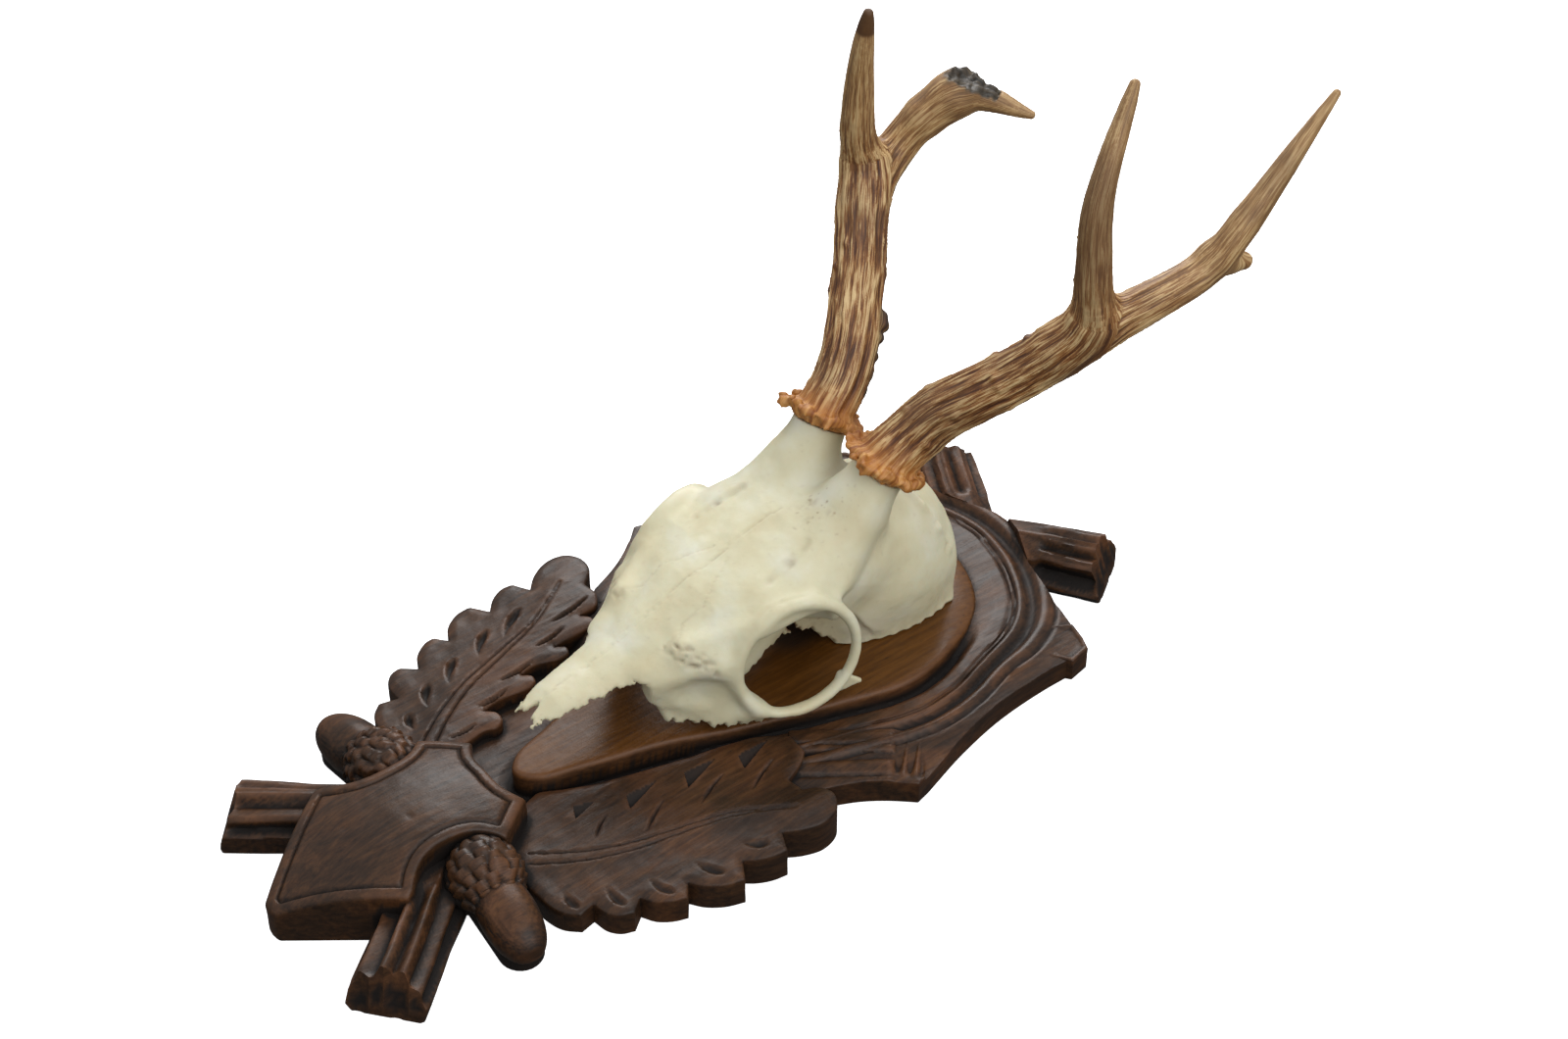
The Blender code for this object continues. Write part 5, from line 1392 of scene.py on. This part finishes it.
def antler_field(side, routes, frames):
    first = np.array(Vector(PEDICLE_WAY).orthogonal().normalized())
    second = np.cross(PEDICLE_WAY, first)
    rng = np.random.default_rng(7 if side > 0 else 8)
    pearls = []
    for i in range(ROSE_PEARLS):
        angle = math.tau * i / ROSE_PEARLS + rng.uniform(-0.09, 0.09)
        size = rng.uniform(1.2, 2.3)
        out = rng.uniform(12.8, 15.4)
        lean = first * math.cos(angle) + second * math.sin(angle)
        pearls.append((BURR + lean * out + PEDICLE_WAY * rng.uniform(-1.2, 2.0), size))
    knobs = []
    beam = routes[0][0]
    for _ in range(BEAM_PEARLS):
        place = int(rng.integers(2, len(beam) * 0.4))
        angle = rng.uniform(0.0, math.tau)
        firsts, seconds, _ = frames[0]
        lean = firsts[place] * math.cos(angle) + seconds[place] * math.sin(angle)
        knobs.append((beam[place] + lean * (routes[0][1][place] - 0.3), rng.uniform(0.8, 1.5)))
    knobs += [(np.array(centre), size) for centre, size in PEARLING[side]]
    dark_knobs = [np.array(centre) for centre, size in PEARLING[side]]
    snag = SNAGS[side]

    def field(p, detail=None):
        q = p.copy()
        q[..., 0] *= side
        total = None
        nothing = np.zeros(q.shape[:-1], dtype=np.float32)
        best = nothing + np.float32(FAR)
        angle = reach = place = front = nothing
        for number, ((points, radii, marks), (firsts, seconds, lengths)) in enumerate(zip(routes, frames)):
            run = nothing + np.float32(FAR)
            run_angle = run_reach = run_mark = nothing
            for i in range(len(points) - 1):
                a = points[i].astype(np.float32)
                way = (points[i + 1] - points[i]).astype(np.float32)
                rel = q - a
                t = np.clip((rel @ way) / (way @ way), 0.0, 1.0)
                rest = rel - t[..., None] * way
                d = np.sqrt(np.einsum("...i,...i->...", rest, rest)) - mix(radii[i], radii[i + 1], t)
                near = d < run
                run = np.where(near, d, run)
                turn = np.arctan2(rest @ seconds[i].astype(np.float32), rest @ firsts[i].astype(np.float32))
                run_angle = np.where(near, turn, run_angle)
                run_reach = np.where(near, lengths[i] + t * (lengths[i + 1] - lengths[i]), run_reach)
                run_mark = np.where(near, mix(marks[i], marks[i + 1], t), run_mark)
            total = run if total is None else smooth_min(total, run, 7.0)
            near = run < best
            best = np.where(near, run, best)
            angle = np.where(near, run_angle, angle)
            reach = np.where(near, run_reach, reach)
            place = np.where(near, run_mark, place)
            front = np.where(near, 1.0 - number, front)
        d = total
        girth = (5.2, 4.3, 3.3) if side > 0 else (7.2, 7.8, 6.4)
        for a, b, ra, rb in ((snag[0], snag[1], girth[0], girth[1]), (snag[1], snag[2], girth[1], girth[2])):
            d = smooth_min(d, cone(q, a, b, ra, rb), 4.0)
        broken = nothing
        if side < 0:
            face = np.array(BREAK_WAY, dtype=np.float32)
            rough = 1.5 * noise(q.astype(float), 3.2, 211) + 0.8 * noise(q.astype(float), 1.4, 212)
            level = (q - np.array(BREAK, dtype=np.float32)) @ face + rough.astype(np.float32)
            near = np.linalg.norm(q - np.array(BREAK, dtype=np.float32), axis=-1) - 13.5
            d = smooth_max(d, -np.maximum(-level, near), 0.8)
            broken = np.clip(1.0 - np.abs(level) / 1.4, 0.0, 1.0) * (near < 0.0)
        turn = np.stack([np.cos(angle), np.sin(angle)], axis=-1)
        coarse = np.concatenate([turn * 4.6, (reach / 22.0)[..., None]], axis=-1).astype(float)
        close = np.concatenate([turn * 9.0, (reach / 12.0)[..., None]], axis=-1).astype(float)
        ridge = (1.0 - np.abs(noise(coarse, 1.0, 201 + side))) ** 2
        fine = (1.0 - np.abs(noise(close, 1.0, 203 + side))) ** 2
        swell = noise(coarse, (3.0, 3.0, 0.8), 209 + side)
        strength = np.interp(place, (0.0, 0.3, 0.55, 0.7, 0.95), (1.15, 1.1, 0.8, 0.35, 0.1))
        relief = strength * (0.85 * ridge + 0.40 * fine + 0.35 * swell - 0.45)
        d = d - relief.astype(np.float32)
        for centre, size in knobs:
            d = smooth_min(d, ball(q, centre, size), 1.6)
        rel = q - BURR.astype(np.float32)
        along = rel @ PEDICLE_WAY.astype(np.float32)
        flat = np.sqrt(np.clip(np.einsum("...i,...i->...", rel, rel) - along**2, 0.0, None))
        rose = np.sqrt((flat - ROSE_RADIUS) ** 2 + (along * 1.25) ** 2) - 2.3
        rose = np.minimum(rose, np.maximum(flat - ROSE_RADIUS, np.abs(along) - 2.4))
        for centre, size in pearls:
            rose = smooth_min(rose, ball(q, centre, size), 1.3)
        rough = 0.9 * noise(q.astype(float), 2.4, 205 + side) + 0.4 * noise(q.astype(float), 1.2, 207 + side)
        rose = rose + rough.astype(np.float32)
        d = smooth_min(d, rose, 2.0)
        seat = (0.5 * rough.astype(np.float32) - 0.4) * (flat > 10.6)
        d = np.maximum(d, seat - (along + BURR_THICK / 2 - 0.05))
        if detail is not None:
            detail["ridge"] = 0.62 * ridge + 0.38 * fine
            detail["along"] = place
            detail["burr"] = np.clip(1.0 - (along - 2.5) / 11.0, 0.0, 1.0) ** 1.2
            for centre in dark_knobs:
                near = np.clip(1.6 - np.linalg.norm(q - centre.astype(np.float32), axis=-1) / 3.4, 0.0, 1.0)
                broken = np.maximum(broken, 0.75 * near * (side < 0))
            detail["broken"] = broken
            if side < 0:
                tan = smooth_step(0.93, 0.945, place)
            else:
                tan = 0.55 * smooth_step(0.55, 0.66, place) * smooth_step(0.95, 0.8, place)
            detail["tan"] = tan * front
            detail["run"] = np.concatenate([turn * 8.0, reach[..., None]], axis=-1)
        return d

    return field


def route_frames(routes):
    """Two directions across each route at each of its points, and how far along it the point is."""
    frames = []
    for points, *_ in routes:
        ways = units(np.gradient(points, axis=0))
        side = np.cross(ways[0], (0.0, 0.0, 1.0))
        firsts, seconds = [], []
        for way in ways:
            side = unit(side - way * (side @ way))
            firsts.append(side)
            seconds.append(np.cross(way, side))
        lengths = np.concatenate([[0.0], np.cumsum(np.linalg.norm(np.diff(points, axis=0), axis=1))])
        frames.append((np.array(firsts), np.array(seconds), lengths))
    return frames


def build_antler(side):
    routes = antler_routes(side)
    frames = route_frames(routes)
    field = antler_field(side, routes, frames)
    every = np.vstack([r[0] for r in routes]) * np.array([side, 1.0, 1.0])
    low = every.min(axis=0) - 20.0
    high = every.max(axis=0) + 16.0
    cell = 0.62 * 1.0
    points, quads = surface(field, low, high, cell)
    points = settle_on(field, points, rounds=1)
    antler = outward(mesh_object("roe_antler_" + SIDES[side], points, quads))
    detail = {}
    field(points.astype(np.float32), detail)
    along_run = antler.data.attributes.new("run", "FLOAT_VECTOR", "POINT")
    along_run.data.foreach_set("vector", detail.pop("run").astype(np.float32).ravel())
    for name, values in detail.items():
        paint(antler, name, values)
    return antler


# Materials


EVEN = (1.0, 1.0, 1.0)


def set_stops(ramp, stops):
    """A ramp's places and colours, or greys."""
    while len(ramp.elements) < len(stops):
        ramp.elements.new(0.5)
    for element, (place, colour) in zip(ramp.elements, stops):
        element.position = place
        element.color = (*colour, 1.0) if isinstance(colour, tuple) else (colour, colour, colour, 1.0)


class Nodes:
    """Short calls for building a node material."""

    def __init__(self, name):
        self.material = bpy.data.materials.new(name)
        self.material.use_nodes = True
        self.tree = self.material.node_tree
        self.shader = self.tree.nodes["Principled BSDF"]
        self.coords = self.tree.nodes.new("ShaderNodeTexCoord").outputs["Object"]

    def link(self, value, socket):
        if isinstance(value, bpy.types.NodeSocket):
            self.tree.links.new(value, socket)
        elif value is not None:
            socket.default_value = value

    def texture(self, scale, stretch=EVEN, detail=4.0, rough=0.55, distort=0.0, over=None):
        """Noise over the object's own space, or over an attribute painted on it."""
        mapping = self.tree.nodes.new("ShaderNodeMapping")
        mapping.inputs["Scale"].default_value = stretch
        self.tree.links.new(over or self.coords, mapping.inputs["Vector"])
        node = self.tree.nodes.new("ShaderNodeTexNoise")
        self.tree.links.new(mapping.outputs["Vector"], node.inputs["Vector"])
        for name, value in (("Scale", scale), ("Detail", detail), ("Roughness", rough), ("Distortion", distort)):
            node.inputs[name].default_value = value
        return node.outputs["Fac"]

    def value(self, name, output="Fac"):
        node = self.tree.nodes.new("ShaderNodeAttribute")
        node.attribute_name = name
        return node.outputs[output]

    def ramp(self, value, stops):
        node = self.tree.nodes.new("ShaderNodeValToRGB")
        set_stops(node.color_ramp, stops)
        self.link(value, node.inputs["Fac"])
        return node.outputs["Color"]

    def math(self, operation, a, b=None, clamp=False):
        node = self.tree.nodes.new("ShaderNodeMath")
        node.operation = operation
        node.use_clamp = clamp
        self.link(a, node.inputs[0])
        self.link(b, node.inputs[1])
        return node.outputs[0]

    def times(self, a, b):
        return self.math("MULTIPLY", a, b)

    def blend(self, share, a, b):
        node = self.tree.nodes.new("ShaderNodeMix")
        node.data_type = "RGBA"
        self.link(share, node.inputs["Factor"])
        self.link((*a, 1.0) if isinstance(a, tuple) else a, node.inputs["A"])
        self.link((*b, 1.0) if isinstance(b, tuple) else b, node.inputs["B"])
        return node.outputs["Result"]

    def bump(self, height, distance, strength=1.0, under=None):
        node = self.tree.nodes.new("ShaderNodeBump")
        node.inputs["Distance"].default_value = distance
        node.inputs["Strength"].default_value = strength
        self.link(height, node.inputs["Height"])
        if under is not None:
            self.link(under, node.inputs["Normal"])
        return node.outputs["Normal"]


# Ramps, as places and colours
WOOD_BASE = [(0.32, (0.014, 0.0066, 0.0030)), (0.50, (0.031, 0.0142, 0.0060)), (0.68, (0.054, 0.0245, 0.0096))]
WOOD_WARM = [(0.32, (0.058, 0.0195, 0.0060)), (0.50, (0.105, 0.0385, 0.0110)), (0.68, (0.150, 0.0600, 0.0180))]
PAD_GOLD = [(0.34, (0.072, 0.0250, 0.0030)), (0.50, (0.100, 0.0365, 0.0042)), (0.66, (0.132, 0.0500, 0.0070))]
BONE = [(0.32, (0.555, 0.495, 0.310)), (0.52, (0.610, 0.575, 0.390)), (0.72, (0.665, 0.655, 0.525))]
HORN = [(0.36, (0.060, 0.017, 0.004)), (0.47, (0.175, 0.062, 0.013)), (0.56, (0.330, 0.150, 0.042)),
        (0.69, (0.660, 0.470, 0.230))]
HORN_PALE = [(0.36, (0.260, 0.135, 0.046)), (0.60, (0.520, 0.345, 0.160))]
HORN_DARK = [(0.35, (0.085, 0.038, 0.012)), (0.65, (0.175, 0.090, 0.034))]
HORN_TAN = [(0.35, (0.060, 0.020, 0.006)), (0.65, (0.125, 0.058, 0.016))]
HORN_ORANGE = [(0.34, (0.220, 0.062, 0.008)), (0.52, (0.430, 0.165, 0.028)), (0.70, (0.640, 0.330, 0.095))]
HORN_BROKEN = [(0.35, (0.010, 0.008, 0.005)), (0.65, (0.050, 0.041, 0.028))]


def wood_material():
    n = Nodes("stained_oak_carving")
    grain = n.texture(560.0, (1.0, 1.0, 0.07), 5.0, 0.65, 0.5)
    pores = n.texture(2100.0, (1.0, 1.0, 0.06), 3.0, 0.5)
    cloud = n.texture(52.0, (1.0, 1.0, 0.7), 5.0, 0.62, 0.4)
    broad = n.texture(17.0, EVEN, 2.0, 0.5)
    painted_shade = n.value("painted_shade")
    crest = n.value("crest")
    pad = n.value("pad")
    base = n.ramp(grain, WOOD_BASE)
    warm = n.ramp(grain, WOOD_WARM)
    gold = n.ramp(grain, PAD_GOLD)
    patches = n.ramp(cloud, [(0.42, 0.0), (0.60, 1.0)])
    areas = n.ramp(broad, [(0.38, 0.25), (0.62, 1.0)])
    colour = n.blend(n.times(n.times(patches, areas), 0.72), base, warm)
    colour = n.blend(n.times(pad, n.ramp(cloud, [(0.30, 0.70), (0.62, 1.0)])), colour, gold)
    worn = n.times(crest, n.ramp(cloud, [(0.38, 0.10), (0.62, 1.0)]))
    colour = n.blend(n.times(worn, 0.55), colour, (0.135, 0.058, 0.027))
    flecks = n.times(n.ramp(pores, [(0.28, 1.0), (0.38, 0.0)]), 0.55)
    colour = n.blend(flecks, colour, (0.010, 0.006, 0.004))
    # painted shade: the wood goes near-black in recesses, on the walls, in the leaf pits and under the braincase;
    # these places are also made rougher
    dark = n.math("MULTIPLY", painted_shade, 0.95, clamp=True)
    colour = n.blend(dark, colour, (0.0045, 0.0032, 0.0026))
    n.link(colour, n.shader.inputs["Base Color"])
    rough = n.ramp(cloud, [(0.3, 0.30), (0.7, 0.46)])
    rough = n.blend(dark, rough, (0.75, 0.75, 0.75))
    n.link(rough, n.shader.inputs["Roughness"])
    n.shader.inputs["Specular IOR Level"].default_value = 0.27
    bumped = n.bump(pores, 0.00015, 0.30)
    bumped = n.bump(grain, 0.00025, 0.30, bumped)
    bumped = n.bump(n.texture(330.0, EVEN, 3.0), 0.0005, 0.22, bumped)
    n.link(bumped, n.shader.inputs["Normal"])
    return n.material


def bone_material():
    n = Nodes("bleached_skull_bone")
    cloud = n.texture(45.0, EVEN, 5.0, 0.55)
    patch = n.texture(16.0, EVEN, 3.0, 0.5, 0.3)
    fine = n.texture(700.0, (1.0, 1.0, 0.5), 3.0, 0.6)
    stain_and_shade = n.value("stain_and_shade")
    inner = n.value("inside")
    colour = n.ramp(cloud, BONE)
    colour = n.blend(n.ramp(patch, [(0.46, 0.0), (0.70, 0.55)]), colour, (0.585, 0.510, 0.320))
    # faces turned back towards the board are blended darker and yellower
    colour = n.blend(n.times(inner, 0.35), colour, (0.56, 0.45, 0.28))
    # stains on the bone, plus painted shade in the hole through the inner wall
    colour = n.blend(stain_and_shade, colour, (0.23, 0.135, 0.065))
    n.link(colour, n.shader.inputs["Base Color"])
    n.link(n.ramp(cloud, [(0.3, 0.62), (0.7, 0.50)]), n.shader.inputs["Roughness"])
    n.shader.inputs["Subsurface Weight"].default_value = 0.08
    n.shader.inputs["Subsurface Scale"].default_value = 0.003
    bumped = n.bump(fine, 0.0002, 0.25)
    bumped = n.bump(n.texture(170.0, EVEN, 4.0), 0.0006, 0.22, bumped)
    n.link(bumped, n.shader.inputs["Normal"])
    return n.material


def horn_material():
    n = Nodes("ridged_antler")
    run = n.value("run", "Vector")
    streak = n.texture(1.1, (1.0, 1.0, 0.055), 5.0, 0.68, over=run)
    hair = n.texture(3.2, (1.0, 1.0, 0.035), 3.0, 0.6, over=run)
    cloud = n.texture(48.0, EVEN, 4.0, 0.6)
    ridge = n.value("ridge")
    along = n.value("along")
    burr = n.value("burr")
    mixed = n.math("ADD", n.times(ridge, 0.40), n.times(streak, 0.66))
    mixed = n.math("ADD", mixed, n.times(n.math("SUBTRACT", hair, 0.5), 0.95))
    colour = n.ramp(mixed, HORN)
    pale = n.ramp(along, [(0.50, 0.0), (0.70, 0.40), (0.97, 0.55)])
    colour = n.blend(pale, colour, n.ramp(hair, HORN_PALE))
    colour = n.blend(n.ramp(cloud, [(0.46, 0.0), (0.70, 0.55)]), colour, n.ramp(hair, HORN_DARK))
    colour = n.blend(n.value("tan"), colour, n.ramp(cloud, HORN_TAN))
    orange = n.ramp(streak, HORN_ORANGE)
    colour = n.blend(n.times(burr, 0.88), colour, orange)
    colour = n.blend(n.value("broken"), colour, n.ramp(cloud, HORN_BROKEN))
    n.link(colour, n.shader.inputs["Base Color"])
    n.link(n.ramp(streak, [(0.3, 0.62), (0.7, 0.44)]), n.shader.inputs["Roughness"])
    bumped = n.bump(streak, 0.0004, 0.45)
    n.link(bumped, n.shader.inputs["Normal"])
    return n.material


def floor_material():
    n = Nodes("white_paper_floor")
    n.shader.inputs["Base Color"].default_value = (0.97, 0.97, 0.97, 1.0)
    n.shader.inputs["Roughness"].default_value = 0.9
    n.shader.inputs["Specular IOR Level"].default_value = 0.1
    n.shader.inputs["Emission Color"].default_value = (1.0, 1.0, 1.0, 1.0)
    n.shader.inputs["Emission Strength"].default_value = 0.9
    return n.material


# The scene


def dress(obj, material, node):
    obj.data.materials.clear()
    obj.data.materials.append(material)
    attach(obj, "root")
    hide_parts(node)


# The camera's place and axes, fitted to the photo
CAMERA_PLACE = (0.576284, -0.705035, -0.451334)
CAMERA_RIGHT = (0.611980707, 0.000657608, 0.790872418)
CAMERA_UP = (-0.519596908, -0.753563105, 0.402693058)
CAMERA_AHEAD = (-0.596237090, 0.657375246, 0.460824391)
# The room's brightness from behind the plaque to before it
ROOM = [(0.30, 0.10), (0.50, 0.30), (0.66, (0.62, 0.63, 0.65)), (1.0, (0.86, 0.87, 0.90))]
# Each lamp's place, target, size and power
LAMPS = {
    "far_window": ((-0.62, -0.62, 0.50), (0.0, -0.03, -0.02), 0.6, 6.5),
    "overhead": ((0.95, -0.92, 0.05), (0.0, -0.05, -0.02), 1.3, 8.6),
}
FLOOR_HALF = 3.0
FLOOR_DEPTH = -0.6


def place_camera():
    data = bpy.data.cameras.new("camera")
    data.lens = 61.875
    data.sensor_width = 36.0
    data.clip_start = 0.05
    data.clip_end = 20.0
    camera = bpy.data.objects.new("camera", data)
    bpy.context.scene.collection.objects.link(camera)
    turn = Matrix((CAMERA_RIGHT, CAMERA_UP, -Vector(CAMERA_AHEAD))).transposed()
    camera.matrix_world = Matrix.Translation(CAMERA_PLACE) @ turn.to_4x4()
    bpy.context.scene.camera = camera


def area_light(name, place, target, size, power):
    data = bpy.data.lights.new(name, "AREA")
    data.shape = "SQUARE"
    data.size = size
    data.energy = power
    light = bpy.data.objects.new(name, data)
    bpy.context.scene.collection.objects.link(light)
    light.location = place
    light.rotation_euler = (Vector(target) - Vector(place)).to_track_quat("-Z", "Y").to_euler()


def light_scene():
    world = bpy.data.worlds.new("studio")
    bpy.context.scene.world = world
    world.use_nodes = True
    tree = world.node_tree
    back = tree.nodes["Background"]
    coords = tree.nodes.new("ShaderNodeTexCoord")
    parts = tree.nodes.new("ShaderNodeSeparateXYZ")
    ramp = tree.nodes.new("ShaderNodeValToRGB")
    tree.links.new(coords.outputs["Generated"], parts.inputs[0])
    shift = tree.nodes.new("ShaderNodeMapRange")
    shift.inputs["From Min"].default_value = 1.0
    shift.inputs["From Max"].default_value = -1.0
    tree.links.new(parts.outputs["Y"], shift.inputs["Value"])
    tree.links.new(shift.outputs[0], ramp.inputs["Fac"])
    set_stops(ramp.color_ramp, ROOM)
    tree.links.new(ramp.outputs["Color"], back.inputs["Color"])
    back.inputs["Strength"].default_value = 1.0
    for name, lamp in LAMPS.items():
        area_light(name, *lamp)
    scene = bpy.context.scene
    scene.view_settings.view_transform = "Standard"
    scene.view_settings.exposure = 0.0


def lay_floor():
    corners = np.array([(-1.0, -1.0), (1.0, -1.0), (1.0, 1.0), (-1.0, 1.0)]) * FLOOR_HALF / MM
    points = np.column_stack([corners, np.full(4, FLOOR_DEPTH)])
    floor = mesh_object("floor", points, np.array([[0, 1, 2, 3]]))
    floor.data.materials.append(floor_material())
    floor.visible_diffuse = False
    floor.visible_glossy = False


board = build_board()
shade_board(board)
dress(board, wood_material(), "carved_plaque")
dress(build_skull(), bone_material(), "skull")
horn = horn_material()
for side, node in ((1, "antler_right"), (-1, "antler_left")):
    dress(build_antler(side), horn, node)
lay_floor()
place_camera()
light_scene()
